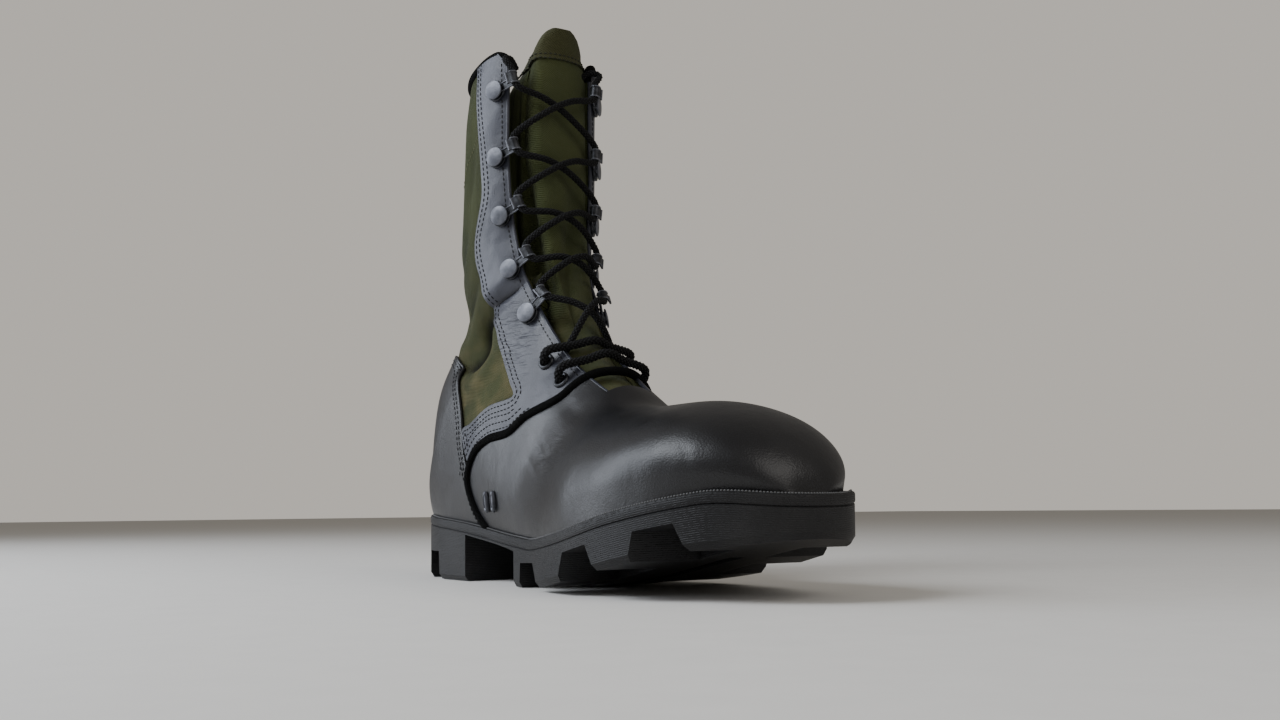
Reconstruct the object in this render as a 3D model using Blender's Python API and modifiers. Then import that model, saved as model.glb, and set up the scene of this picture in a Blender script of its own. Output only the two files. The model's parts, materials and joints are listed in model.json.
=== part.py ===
"""Left jungle boot: lugged rubber sole, hollow upper, tongue and insole, in metres.

The toe points along -Y, the inner (medial) side faces -X, and the boot stands on Z = 0.
Places along the boot are shares of the sole's length, 0 at the back of the heel and 1 at the toe.
"""

from collections import namedtuple

import bmesh
import bpy
import mathutils
import numpy as np

# Driving dimensions
SOLE_LENGTH = 0.300
BALL_WIDTH = 0.108
HEEL_HEIGHT = 0.0339
TOE_SPRING = 0.0234
BOOT_HEIGHT = 0.269
SOLE_LEDGE = 0.0045
TOE_LEDGE = 0.0070
UPPER_WALL = 0.0020
FIT_GAP = 0.0003

# Sole details
TREAD_BEVEL = 0.0012
TREAD_BEVEL_HEIGHT = 0.0025
WALL_STEP = 0.0008
BEAD_HEIGHT = 0.0045
HEEL_BREAST = 0.0737
FOREFOOT_START = 0.1317
ARCH_HEIGHT = 0.0227
ARCH_FRONT_HEIGHT = 0.0160
LUG_DEPTH = 0.0110
HEEL_LUG_DEPTH = 0.0140
LUG_REACH = 0.0300
HEEL_LUG_REACH = 0.0140
CHANNEL_WIDTH = 0.0080
CHANNEL_DEPTH = 0.0060

# Leather laid over the upper
LEATHER = 0.0016

# Hooks, eyelets, vents and lace
HOOK_SETBACK = 0.0058
HOOK_PLATE_RADIUS = 0.0054
HOOK_PLATE = 0.0008
HOOK_DOME_RADIUS = 0.0047
HOOK_DOME = 0.0016
HOOK_ARM_WIDTH = 0.0052
HOOK_ARM_WALL = 0.0008
HOOK_REACH = 0.0104
HOOK_MOUTH = 0.0042
EYELET_SETBACK = 0.0095
EYELET_RADIUS = 0.0042
EYELET_BORE = 0.0023
EYELET_BARREL = 0.0006
EYELET_RIM = 0.0010
VENT_RADIUS = 0.0036
VENT_PITCH = 0.0080
VENT_RISE = 0.0013
LACE_RADIUS = 0.0017
LACE_CLEARANCE = 0.0004
LACE_STACK = 1.4
LACE_ARCH = 0.0030

# Insole and tongue
INSOLE_THICKNESS = 0.0035
INSOLE_CLEARANCE = 0.0020
TONGUE_WALL = 0.0022
TONGUE_RISE = 0.0130
TONGUE_LEAN = 0.0030

# Sampling of the smooth forms
OUTLINE_STEPS = 480
SOLE_STATIONS = 28
SECTIONS_PER_ROW = 2
SIDE_COLUMNS = 11
THROAT_COLUMNS = 6
TONGUE_SIDE = 3
ARC_STEPS = 90
ROW_STEPS = 240
TURN_STEPS = 12
STRAND_SHARES = (0.0, 0.12, 0.25, 0.38, 0.5, 0.62, 0.75, 0.88, 1.0)
BEYOND = 0.15
HOLLOW_FADE = 0.2

# Sole outline: widths as shares of the ball width, to each side of the boot's straight axis.
Outline = namedtuple("Outline", "along inner outer")
SOLE_OUTLINE = (
    Outline(0.000, 0.000, 0.000),
    Outline(0.013, 0.148, 0.148),
    Outline(0.047, 0.259, 0.259),
    Outline(0.127, 0.333, 0.333),
    Outline(0.257, 0.333, 0.352),
    Outline(0.373, 0.336, 0.392),
    Outline(0.500, 0.389, 0.448),
    Outline(0.617, 0.472, 0.490),
    Outline(0.707, 0.500, 0.500),
    Outline(0.800, 0.481, 0.463),
    Outline(0.883, 0.403, 0.403),
    Outline(0.947, 0.278, 0.296),
    Outline(0.987, 0.139, 0.157),
    Outline(1.000, -0.009, 0.009),
)

# Sole profile: the tread's lift is a share of the toe spring, the thickness one of the heel height.
Profile = namedtuple("Profile", "along lift thick")
SOLE_PROFILE = (
    Profile(0.000, 0.00, 1.000),
    Profile(0.257, 0.00, 0.826),
    Profile(0.397, 0.00, 0.693),
    Profile(0.500, 0.00, 0.640),
    Profile(0.583, 0.10, 0.605),
    Profile(0.667, 0.25, 0.590),
    Profile(0.800, 0.57, 0.605),
    Profile(0.917, 0.84, 0.610),
    Profile(1.000, 1.00, 0.470),
)

# Gaps between the forefoot lugs, which widen towards the ground, as shares of the sole's length.
Gap = namedtuple("Gap", "top_start top_end foot_start foot_end")
FOREFOOT_GAPS = (
    Gap(0.472, 0.540, 0.467, 0.566),
    Gap(0.680, 0.742, 0.662, 0.762),
    Gap(0.834, 0.890, 0.825, 0.905),
)
HEEL_GAPS = (Gap(0.084, 0.142, 0.080, 0.146),)

# Sections of the upper, from the toe to the collar. Each runs from a top point on the centre line
# down to an edge point: on the sole's ledge, or risen from it up the line of the back.
# Places are shares of the sole's length and the boot's height, and widths of the ball width.
# wide_at is the share of the way down where the section is widest; crown, side and tuck are the
# roundness of its arcs, and throat is half the width of the strip that the tongue shows through.
Section = namedtuple(
    "Section", "top_along top_height edge_along rise width_in width_out wide_at crown side tuck throat"
)
UPPER_SECTIONS = (
    Section(0.973, 0.147, 0.973, 0.000, 0.000, 0.000, 0.70, 2.0, 2.0, 1.0, 0.003),
    Section(0.969, 0.180, 0.963, 0.000, 0.120, 0.106, 0.70, 2.1, 2.0, 1.0, 0.019),
    Section(0.935, 0.230, 0.917, 0.000, 0.245, 0.218, 0.70, 2.1, 2.0, 1.0, 0.042),
    Section(0.877, 0.266, 0.853, 0.000, 0.370, 0.343, 0.70, 2.1, 2.0, 1.0, 0.056),
    Section(0.797, 0.283, 0.773, 0.000, 0.444, 0.421, 0.72, 2.0, 2.0, 1.0, 0.065),
    Section(0.693, 0.284, 0.677, 0.000, 0.454, 0.454, 0.74, 2.0, 2.0, 1.0, 0.069),
    Section(0.623, 0.291, 0.587, 0.000, 0.417, 0.449, 0.75, 1.9, 2.0, 1.0, 0.074),
    Section(0.570, 0.330, 0.487, 0.000, 0.352, 0.412, 0.76, 1.8, 2.0, 1.0, 0.097),
    Section(0.517, 0.374, 0.390, 0.000, 0.324, 0.370, 0.75, 1.8, 2.0, 1.0, 0.111),
    Section(0.473, 0.416, 0.293, 0.000, 0.324, 0.343, 0.72, 1.8, 2.0, 1.0, 0.120),
    Section(0.440, 0.459, 0.200, 0.000, 0.324, 0.333, 0.67, 1.9, 2.0, 1.0, 0.130),
    Section(0.415, 0.504, 0.113, 0.000, 0.324, 0.329, 0.65, 1.9, 2.1, 1.3, 0.139),
    Section(0.395, 0.554, 0.055, 0.000, 0.324, 0.329, 0.65, 2.0, 2.2, 1.7, 0.153),
    Section(0.378, 0.606, 0.028, 0.000, 0.324, 0.329, 0.65, 2.0, 2.2, 2.0, 0.167),
    Section(0.365, 0.662, 0.022, 0.104, 0.310, 0.319, 0.60, 2.1, 2.1, 2.0, 0.181),
    Section(0.355, 0.714, 0.037, 0.230, 0.287, 0.306, 0.50, 2.2, 2.2, 2.2, 0.194),
    Section(0.348, 0.773, 0.062, 0.346, 0.273, 0.301, 0.42, 2.3, 2.1, 2.1, 0.204),
    Section(0.343, 0.829, 0.072, 0.461, 0.273, 0.306, 0.40, 2.3, 2.1, 2.1, 0.208),
    Section(0.340, 0.888, 0.077, 0.595, 0.273, 0.306, 0.40, 2.4, 2.1, 2.1, 0.208),
    Section(0.340, 0.944, 0.090, 0.732, 0.269, 0.306, 0.40, 2.4, 2.1, 2.1, 0.208),
    Section(0.340, 1.000, 0.110, 0.848, 0.255, 0.306, 0.40, 2.4, 2.1, 2.1, 0.208),
)
THROAT_START = 7

# The tongue's width as a share of the strip that it starts with, up its length and above the collar
Taper = namedtuple("Taper", "height width")
TONGUE_TAPER = (
    Taper(0.300, 1.00),
    Taper(0.780, 1.00),
    Taper(0.900, 0.80),
    Taper(1.000, 0.62),
)
Tip = namedtuple("Tip", "rise width bow")
TONGUE_TIP = (
    Tip(0.40, 0.58, 0.85),
    Tip(0.80, 0.46, 0.70),
    Tip(1.00, 0.28, 0.55),
)

# One end of a strand of lace, with what moves it from the boot's own surface to the hook
LaceEnd = namedtuple("LaceEnd", "row at lift shift")

# Panel edges seen from the side, from the top down: places as shares of the sole's length and
# heights as shares of the boot's height.
Edge = namedtuple("Edge", "along height")
VAMP_EDGE = (
    Edge(0.567, 0.430),
    Edge(0.552, 0.366),
    Edge(0.522, 0.350),
    Edge(0.493, 0.313),
    Edge(0.430, 0.286),
    Edge(0.393, 0.262),
    Edge(0.330, 0.252),
    Edge(0.287, 0.229),
    Edge(0.264, 0.187),
    Edge(0.284, 0.137),
    Edge(0.335, 0.080),
)
COUNTER_EDGE = (
    Edge(-0.050, 0.432),
    Edge(0.150, 0.425),
    Edge(0.178, 0.402),
    Edge(0.222, 0.315),
    Edge(0.238, 0.245),
    Edge(0.260, 0.187),
    Edge(0.280, 0.136),
    Edge(0.331, 0.079),
)
EYESTAY_EDGE = (
    Edge(0.239, 1.050),
    Edge(0.241, 0.960),
    Edge(0.263, 0.776),
    Edge(0.266, 0.722),
    Edge(0.244, 0.636),
    Edge(0.256, 0.563),
    Edge(0.287, 0.488),
    Edge(0.317, 0.430),
    Edge(0.370, 0.356),
    Edge(0.385, 0.330),
    Edge(0.317, 0.313),
    Edge(0.262, 0.286),
    Edge(0.236, 0.277),
    Edge(0.245, 0.247),
    Edge(0.263, 0.213),
)

# Heights of the hooks and eyelets, from the lowest, and the places of the vents
EYELET_HEIGHTS = (0.347, 0.385)
HOOK_HEIGHTS = (0.481, 0.570, 0.675, 0.788, 0.918)
FIRST_VENT = Edge(0.333, 0.145)

# Hollows where the empty boot's nylon sinks in: places and spreads as shares of the sole's length
# and the boot's height, depths as shares of the ball width.
Hollow = namedtuple("Hollow", "side along height spread rise depth")
HOLLOWS = (
    Hollow(-1, 0.150, 0.475, 0.120, 0.085, 0.080),
    Hollow(1, 0.150, 0.500, 0.120, 0.085, 0.050),
)

# Colour, roughness and metallic value of each material
Finish = namedtuple("Finish", "colour roughness metallic")
FINISHES = {
    "rubber": Finish((0.020, 0.020, 0.021, 1.0), 0.62, 0.0),
    "nylon": Finish((0.075, 0.083, 0.036, 1.0), 0.78, 0.0),
    "leather": Finish((0.012, 0.012, 0.014, 1.0), 0.38, 0.0),
    "twill": Finish((0.110, 0.110, 0.060, 1.0), 0.85, 0.0),
    "felt": Finish((0.060, 0.055, 0.045, 1.0), 0.90, 0.0),
    "cord": Finish((0.014, 0.014, 0.015, 1.0), 0.70, 0.0),
    "steel": Finish((0.045, 0.045, 0.048, 1.0), 0.32, 1.0),
}


def clear_scene():
    for item in list(bpy.data.objects):
        bpy.data.objects.remove(item, do_unlink=True)


def new_collection(name):
    group = bpy.data.collections.new(name)
    bpy.context.scene.collection.children.link(group)
    return group


def finish(name):
    made = bpy.data.materials.get(name)
    if made:
        return made
    made = bpy.data.materials.new(name)
    made.use_nodes = True
    shader = made.node_tree.nodes["Principled BSDF"]
    values = FINISHES[name]
    shader.inputs["Base Color"].default_value = values.colour
    shader.inputs["Roughness"].default_value = values.roughness
    shader.inputs["Metallic"].default_value = values.metallic
    return made


def add_object(name, points, faces, group, material=None):
    mesh = bpy.data.meshes.new(name)
    mesh.from_pydata([tuple(point) for point in points], [], faces)
    made = bpy.data.objects.new(name, mesh)
    group.objects.link(made)
    if material:
        mesh.materials.append(finish(material))
        mesh.shade_smooth()
        mesh.set_sharp_from_angle(angle=np.radians(35))
    return made


def add_cutter(name, points, faces, group):
    made = add_object(name, points, faces, group)
    made.hide_render = True
    made.display_type = "WIRE"
    return made


def column(rows, name):
    return np.array([getattr(row, name) for row in rows], float)


def curve_through(places, values, at):
    """A smooth curve through a table's values, with no overshoot past a turning point."""
    places = np.asarray(places, float)
    values = np.asarray(values, float)
    steps = np.diff(places)
    slopes = np.diff(values) / steps
    tangents = np.empty_like(values)
    tangents[0] = slopes[0]
    tangents[-1] = slopes[-1]
    inner = (slopes[:-1] * steps[1:] + slopes[1:] * steps[:-1]) / (steps[1:] + steps[:-1])
    flat = slopes[:-1] * slopes[1:] <= 0
    limit = 3 * np.minimum(np.abs(slopes[:-1]), np.abs(slopes[1:]))
    tangents[1:-1] = np.where(flat, 0.0, np.sign(inner) * np.minimum(np.abs(inner), limit))
    at = np.clip(np.asarray(at, float), places[0], places[-1])
    span = np.clip(np.searchsorted(places, at, side="right") - 1, 0, len(steps) - 1)
    share = (at - places[span]) / steps[span]
    rise = values[span + 1] - values[span]
    first = tangents[span] * steps[span]
    last = tangents[span + 1] * steps[span]
    bend = 3 * rise - 2 * first - last
    twist = first + last - 2 * rise
    return values[span] + share * (first + share * (bend + share * twist))


def along_to_y(along):
    return SOLE_LENGTH * (0.5 - along)


def sole_lift(along):
    return TOE_SPRING * curve_through(column(SOLE_PROFILE, "along"), column(SOLE_PROFILE, "lift"), along)


def sole_top(along):
    thick = curve_through(column(SOLE_PROFILE, "along"), column(SOLE_PROFILE, "thick"), along)
    return sole_lift(along) + HEEL_HEIGHT * thick


def outline_sides(inset):
    """The sole's outline moved inwards, as the inner and outer side from heel to toe."""
    inner = [(SOLE_LENGTH * row.along, -BALL_WIDTH * row.inner) for row in SOLE_OUTLINE]
    outer = [(SOLE_LENGTH * row.along, BALL_WIDTH * row.outer) for row in SOLE_OUTLINE[1:-1]]
    inner[-1] = (inner[-1][0], 0.0)
    corners = np.array(inner + outer[::-1])
    corners = np.roll(corners, -len(inner) // 2, axis=0)
    chain = np.vstack([corners, corners[:4]])
    lengths = np.concatenate([[0.0], np.cumsum(np.sqrt(np.linalg.norm(np.diff(chain, axis=0), axis=1)))])
    period = lengths[len(corners)]
    knots = np.concatenate([lengths - period, lengths, lengths + period])
    wrapped = np.concatenate([chain, chain, chain])
    order = np.argsort(knots, kind="stable")
    keep = np.concatenate([[True], np.diff(knots[order]) > period * 1e-6])
    knots = knots[order][keep]
    wrapped = wrapped[order][keep]
    at = np.linspace(0.0, period, OUTLINE_STEPS, endpoint=False)
    fine = np.column_stack([catmull_rom(knots, wrapped[:, axis], at) for axis in range(2)])
    ahead = np.roll(fine, -1, axis=0) - np.roll(fine, 1, axis=0)
    outward = np.column_stack([ahead[:, 1], -ahead[:, 0]])
    outward /= np.linalg.norm(outward, axis=1)[:, None]
    centre = fine.mean(axis=0)
    if np.mean(np.sum((fine - centre) * outward, axis=1)) < 0:
        outward = -outward
    fine = fine - inset * outward
    heel = int(np.argmin(fine[:, 0]))
    fine = np.roll(fine, -heel, axis=0)
    toe = int(np.argmax(fine[:, 0]))
    halves = [fine[: toe + 1], np.vstack([fine[toe:], fine[:1]])[::-1]]
    halves.sort(key=lambda half: half[:, 1].mean())
    return halves


def catmull_rom(knots, values, at):
    """A smooth curve through unevenly spaced values."""
    tangents = np.gradient(values, knots)
    span = np.clip(np.searchsorted(knots, at, side="right") - 1, 0, len(knots) - 2)
    step = knots[span + 1] - knots[span]
    share = (at - knots[span]) / step
    rise = values[span + 1] - values[span]
    first = tangents[span] * step
    last = tangents[span + 1] * step
    return values[span] + share * (first + share * (3 * rise - 2 * first - last + share * (first + last - 2 * rise)))


def ledge_widths(along, inset):
    """Where the inset outline lies to the inner and outer side at a place along the sole."""
    widths = []
    for half in outline_sides(inset):
        places = np.maximum.accumulate(half[:, 0])
        widths.append(np.interp(SOLE_LENGTH * np.asarray(along, float), places, half[:, 1]))
    return widths


def sole_ring(inset, height):
    """Points round the sole at one level: heel, inner side, toe, outer side."""
    halves = outline_sides(inset)
    start = max(halves[0][0, 0], halves[1][0, 0])
    end = min(halves[0][-1, 0], halves[1][-1, 0])
    shares = 0.5 * (1 - np.cos(np.pi * np.arange(SOLE_STATIONS + 1) / SOLE_STATIONS))
    places = (start + (end - start) * shares) / SOLE_LENGTH
    inner, outer = ledge_widths(places, inset)
    levels = height(places)
    sides = []
    for across in (inner, outer):
        sides.append(np.column_stack([across, along_to_y(places), levels]))
    for side in sides:
        side[0, 0] = 0.5 * (inner[0] + outer[0])
        side[-1, 0] = 0.5 * (inner[-1] + outer[-1])
    return np.vstack([sides[0], sides[1][-2:0:-1]])


def ring_loft(rings):
    """Faces between rings from the lowest to the highest, with flat strips across both ends."""
    count = len(rings[0])
    faces = []
    for level in range(len(rings) - 1):
        for spot in range(count):
            following = (spot + 1) % count
            low = level * count
            high = low + count
            faces.append((low + spot, low + following, high + following, high + spot))
    for base, turned in ((0, False), ((len(rings) - 1) * count, True)):
        for spot in range(count // 2):
            left = (spot, spot + 1)
            right = (count - spot - 1, (count - spot) % count)
            strip = [base + left[0], base + left[1], base + right[0], base + right[1]]
            strip = list(dict.fromkeys(strip))
            faces.append(tuple(strip if turned else strip[::-1]))
    return np.vstack(rings), faces


def side_prism(name, outline, across, group):
    """A solid with a side-view outline of (along, height) points, between two places across."""
    low, high = across
    count = len(outline)
    points = [(x, along_to_y(place), height) for x in (low, high) for place, height in outline]
    faces = [tuple(range(count)), tuple(range(2 * count - 1, count - 1, -1))]
    for spot in range(count):
        following = (spot + 1) % count
        faces.append((spot, spot + count, following + count, following))
    made = add_cutter(name, points, faces, group)
    shape = bmesh.new()
    shape.from_mesh(made.data)
    bmesh.ops.recalc_face_normals(shape, faces=shape.faces)
    shape.to_mesh(made.data)
    shape.free()
    return made


def cut(target, cutter, operation="DIFFERENCE"):
    step = target.modifiers.new(cutter.name, "BOOLEAN")
    step.operation = operation
    step.object = cutter
    step.solver = "MANIFOLD"


def add_sole(parts, cutters):
    rings = [
        sole_ring(TREAD_BEVEL + WALL_STEP, sole_lift),
        sole_ring(WALL_STEP, lambda at: sole_lift(at) + TREAD_BEVEL_HEIGHT),
        sole_ring(WALL_STEP, lambda at: sole_top(at) - BEAD_HEIGHT),
        sole_ring(0.0, lambda at: sole_top(at) - BEAD_HEIGHT + WALL_STEP),
        sole_ring(0.0, lambda at: sole_top(at) - WALL_STEP),
        sole_ring(WALL_STEP, sole_top),
    ]
    points, faces = ring_loft(rings)
    sole = add_object("outsole", points, faces, parts, "rubber")
    below = -0.02
    width = BALL_WIDTH
    arch = [
        (HEEL_BREAST / SOLE_LENGTH, below),
        (HEEL_BREAST / SOLE_LENGTH, ARCH_HEIGHT),
        (FOREFOOT_START / SOLE_LENGTH, ARCH_FRONT_HEIGHT),
        (FOREFOOT_START / SOLE_LENGTH, below),
    ]
    cut(sole, side_prism("arch_cutter", arch, (-width, width), cutters))
    for gaps, depth, reach in ((FOREFOOT_GAPS, LUG_DEPTH, LUG_REACH), (HEEL_GAPS, HEEL_LUG_DEPTH, HEEL_LUG_REACH)):
        for gap in gaps:
            middle = 0.5 * (gap.top_start + gap.top_end)
            edges = ledge_widths(middle, 0.0)
            outline = [
                (gap.foot_start - (gap.top_start - gap.foot_start), below),
                (gap.foot_end + (gap.foot_end - gap.top_end), below),
                (gap.foot_end, float(sole_lift(gap.foot_end))),
                (gap.top_end, float(sole_lift(gap.top_end)) + depth),
                (gap.top_start, float(sole_lift(gap.top_start)) + depth),
                (gap.foot_start, float(sole_lift(gap.foot_start))),
            ]
            for side, edge in (("inner", float(edges[0])), ("outer", float(edges[1]))):
                outside = np.sign(edge) * width
                inside = edge - np.sign(edge) * reach
                name = f"gap_{side}_{middle:.2f}"
                cut(sole, side_prism(name, outline, sorted((inside, outside)), cutters))
    channel_ends = (FOREFOOT_GAPS[0].top_end, FOREFOOT_GAPS[-1].top_start)
    places = np.linspace(channel_ends[0], channel_ends[1], 8)
    channel = [(float(at), float(sole_lift(at)) + CHANNEL_DEPTH) for at in places]
    channel += [(channel_ends[1], below), (channel_ends[0], below)]
    cut(sole, side_prism("channel_cutter", channel, (-CHANNEL_WIDTH / 2, CHANNEL_WIDTH / 2), cutters))
    return sole


def add_insole(parts):
    inset = TOE_LEDGE + UPPER_WALL + INSOLE_CLEARANCE
    rings = [
        sole_ring(inset, lambda at: sole_top(at) + FIT_GAP),
        sole_ring(inset, lambda at: sole_top(at) + FIT_GAP + INSOLE_THICKNESS),
    ]
    points, faces = ring_loft(rings)
    return add_object("insole", points, faces, parts, "felt")


def section_rows():
    """The section table read at even steps, each as a record of shares."""
    steps = np.arange(len(UPPER_SECTIONS), dtype=float)
    at = np.linspace(0.0, steps[-1], SECTIONS_PER_ROW * (len(UPPER_SECTIONS) - 1) + 1)
    columns = {name: curve_through(steps, column(UPPER_SECTIONS, name), at) for name in Section._fields}
    return [Section(**{name: float(values[i]) for name, values in columns.items()}) for i in range(len(at))]


def ledge_inset(along):
    """How far inside the sole's outline the upper stands: further round the toe."""
    forward = np.clip((along - 0.6) / 0.4, 0.0, 1.0)
    return SOLE_LEDGE + (TOE_LEDGE - SOLE_LEDGE) * float(forward)


def arc_of(row, side):
    """One side of a section, from the top point down to the edge, as closely spaced points."""
    down = 0.5 * (1 - np.cos(np.pi * np.linspace(0.0, 1.0, ARC_STEPS)))
    on_sole = row.rise <= 0.0
    inner, outer = ledge_widths(row.edge_along, ledge_inset(row.edge_along))
    foot = abs(float(inner if side < 0 else outer)) if on_sole else 0.0
    width = max(foot, BALL_WIDTH * (row.width_in if side < 0 else row.width_out))
    upper_share = np.clip(down / row.wide_at, 0.0, 1.0)
    lower_share = np.clip((down - row.wide_at) / (1 - row.wide_at), 0.0, 1.0)
    crown = width * (1 - (1 - upper_share) ** row.crown) ** (1 / row.crown)
    tucked = foot + (width - foot) * (1 - lower_share**row.side) ** (1 / row.tuck)
    across = side * np.where(down < row.wide_at, crown, tucked)
    edge_height = float(sole_top(row.edge_along)) + FIT_GAP + BOOT_HEIGHT * row.rise
    top_height = max(BOOT_HEIGHT * row.top_height, edge_height)
    top_y = along_to_y(row.top_along)
    edge_y = along_to_y(row.edge_along)
    y = top_y + down * (edge_y - top_y)
    z = top_height + down * (edge_height - top_height)
    off_seam = np.clip(np.abs(across) / (BALL_WIDTH * HOLLOW_FADE), 0.0, 1.0)
    return np.column_stack([across + off_seam * hollow_depth(side, y, z), y, z])


def hollow_depth(side, y, z):
    """How far the hollows draw each point of one side towards the middle."""
    moved = np.zeros_like(y)
    for hollow in HOLLOWS:
        if hollow.side != side:
            continue
        from_middle = (y - along_to_y(hollow.along)) / (SOLE_LENGTH * hollow.spread)
        from_level = (z - BOOT_HEIGHT * hollow.height) / (BOOT_HEIGHT * hollow.rise)
        moved -= side * BALL_WIDTH * hollow.depth * np.exp(-(from_middle**2) - from_level**2)
    return moved


def spaced(points, lengths):
    """Points at the given lengths along a chain of points."""
    steps = np.concatenate([[0.0], np.cumsum(np.linalg.norm(np.diff(points, axis=0), axis=1))])
    return np.column_stack([np.interp(lengths, steps, points[:, axis]) for axis in range(3)])


def section_points(row):
    """A whole section, from the inner edge over the top to the outer edge."""
    halves = []
    for side in (-1, 1):
        arc = arc_of(row, side)
        steps = np.concatenate([[0.0], np.cumsum(np.linalg.norm(np.diff(arc, axis=0), axis=1))])
        rising = np.maximum.accumulate(np.abs(arc[:, 0]))
        split = float(np.interp(BALL_WIDTH * row.throat, rising, steps))
        split = min(split, 0.4 * steps[-1])
        over = np.linspace(0.0, split, THROAT_COLUMNS // 2 + 1)
        down = np.linspace(split, steps[-1], SIDE_COLUMNS + 1)[1:]
        halves.append(spaced(arc, np.concatenate([over, down])))
    return np.vstack([halves[0][:0:-1], halves[1]])


def upper_grid():
    return np.array([section_points(row) for row in section_rows()])


def grid_normals(grid):
    """Unit normals of a grid of points, pointing out of the boot."""
    along = np.gradient(grid, axis=0)
    over = np.gradient(grid, axis=1)
    normals = np.cross(over, along)
    lengths = np.linalg.norm(normals, axis=2, keepdims=True)
    normals = normals / np.maximum(lengths, 1e-12)
    normals[0] = np.array([0.0, -1.0, 0.0])
    shut = np.linalg.norm(grid[:, 0] - grid[:, -1], axis=1) < 1e-6
    seam = normals[:, 0] + normals[:, -1]
    seam /= np.maximum(np.linalg.norm(seam, axis=1, keepdims=True), 1e-12)
    normals[shut, 0] = seam[shut]
    normals[shut, -1] = seam[shut]
    return normals


def grid_surface(grid, keep):
    """Points and triangles of the cells of a grid that keep(row, column) allows."""
    rows, columns = grid.shape[:2]
    faces = []
    for row in range(rows - 1):
        for place in range(columns - 1):
            if not keep(row, place):
                continue
            low = row * columns + place
            high = low + columns
            if place < columns // 2:
                faces += [(low, low + 1, high + 1), (low, high + 1, high)]
            else:
                faces += [(low, low + 1, high), (low + 1, high + 1, high)]
    used = sorted({corner for face in faces for corner in face})
    new_index = {old: new for new, old in enumerate(used)}
    points = grid.reshape(-1, 3)[used]
    return points, [tuple(new_index[corner] for corner in face) for face in faces]


def join_close_points(made):
    shape = bmesh.new()
    shape.from_mesh(made.data)
    bmesh.ops.remove_doubles(shape, verts=shape.verts, dist=1e-6)
    bmesh.ops.dissolve_degenerate(shape, edges=shape.edges, dist=1e-7)
    shape.to_mesh(made.data)
    shape.free()


def thicken(made, thickness, offset):
    step = made.modifiers.new("wall", "SOLIDIFY")
    step.thickness = thickness
    step.offset = offset
    step.use_even_offset = False
    step.use_rim = True


def in_throat(row, place):
    first_open = THROAT_START * SECTIONS_PER_ROW
    return row >= first_open and SIDE_COLUMNS <= place < SIDE_COLUMNS + THROAT_COLUMNS


def add_upper(grid, parts, removed):
    points, faces = grid_surface(grid, lambda row, place: not in_throat(row, place))
    upper = add_object("upper", points, faces, parts, "nylon")
    join_close_points(upper)
    thicken(upper, UPPER_WALL, -1.0)
    for cutter in removed:
        cut(upper, cutter)
    return upper


def add_tongue(grid, normals, parts):
    """The tongue follows the inside of the throat, narrows and stands above the collar."""
    start = THROAT_START * SECTIONS_PER_ROW - 2
    columns = slice(SIDE_COLUMNS - TONGUE_SIDE, SIDE_COLUMNS + THROAT_COLUMNS + TONGUE_SIDE + 1)
    sheet = grid[start:, columns] - (UPPER_WALL + FIT_GAP) * normals[start:, columns]
    heights = sheet[:, sheet.shape[1] // 2, 2] / BOOT_HEIGHT
    narrow = curve_through(column(TONGUE_TAPER, "height"), column(TONGUE_TAPER, "width"), heights)
    sheet[:, :, 0] *= narrow[:, None]
    last = sheet[-1]
    front = last[:, 1].min()
    raised = []
    for tip in TONGUE_TIP:
        ring = last.copy()
        ring[:, 0] = last[:, 0] * tip.width / narrow[-1]
        ring[:, 1] = front + (last[:, 1] - front) * tip.bow - TONGUE_LEAN * tip.rise
        ring[:, 2] = last[:, 2] + TONGUE_RISE * tip.rise
        raised.append(ring)
    sheet = np.concatenate([sheet, np.array(raised)])
    points, faces = grid_surface(sheet, lambda row, place: True)
    tongue = add_object("tongue", points, faces, parts, "twill")
    thicken(tongue, TONGUE_WALL, -1.0)
    return tongue


def moved_edge(edge, distance):
    """A panel's edge in (y, z), moved towards the heel and the top by a distance."""
    points = np.array([(along_to_y(corner.along), BOOT_HEIGHT * corner.height) for corner in edge])
    ahead = np.gradient(points, axis=0)
    across = np.column_stack([-ahead[:, 1], ahead[:, 0]])
    across /= np.linalg.norm(across, axis=1)[:, None]
    return points + distance * across


def as_outline(points):
    return [(0.5 - y / SOLE_LENGTH, z) for y, z in points]


def add_ledge(name, clearance, cutters):
    """What lies below the sole's ledge, to cut what stands on it."""
    shares = 0.5 * (1 - np.cos(np.pi * np.arange(SOLE_STATIONS + 1) / SOLE_STATIONS))
    places = np.concatenate([[-BEYOND], shares, [1 + BEYOND]])
    line = [(float(at), float(sole_top(at)) + clearance) for at in places]
    below = -BEYOND * BOOT_HEIGHT
    outline = line + [(line[-1][0], below), (line[0][0], below)]
    return side_prism(name, outline, (-BALL_WIDTH, BALL_WIDTH), cutters)


def add_panel(name, grid, normals, outline, across, group, cutters, holes=()):
    """Leather between two larger forms of the upper, kept where the side view's outline allows."""
    cover = grid + FIT_GAP * normals
    points, faces = grid_surface(cover, lambda row, place: not in_throat(row, place))
    panel = add_object(name, points, faces, group, "leather")
    join_close_points(panel)
    thicken(panel, LEATHER, 1.0)
    cut(panel, side_prism(f"{name}_outline", outline, across, cutters), "INTERSECT")
    for hole in holes:
        cut(panel, hole)
    return panel


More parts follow.
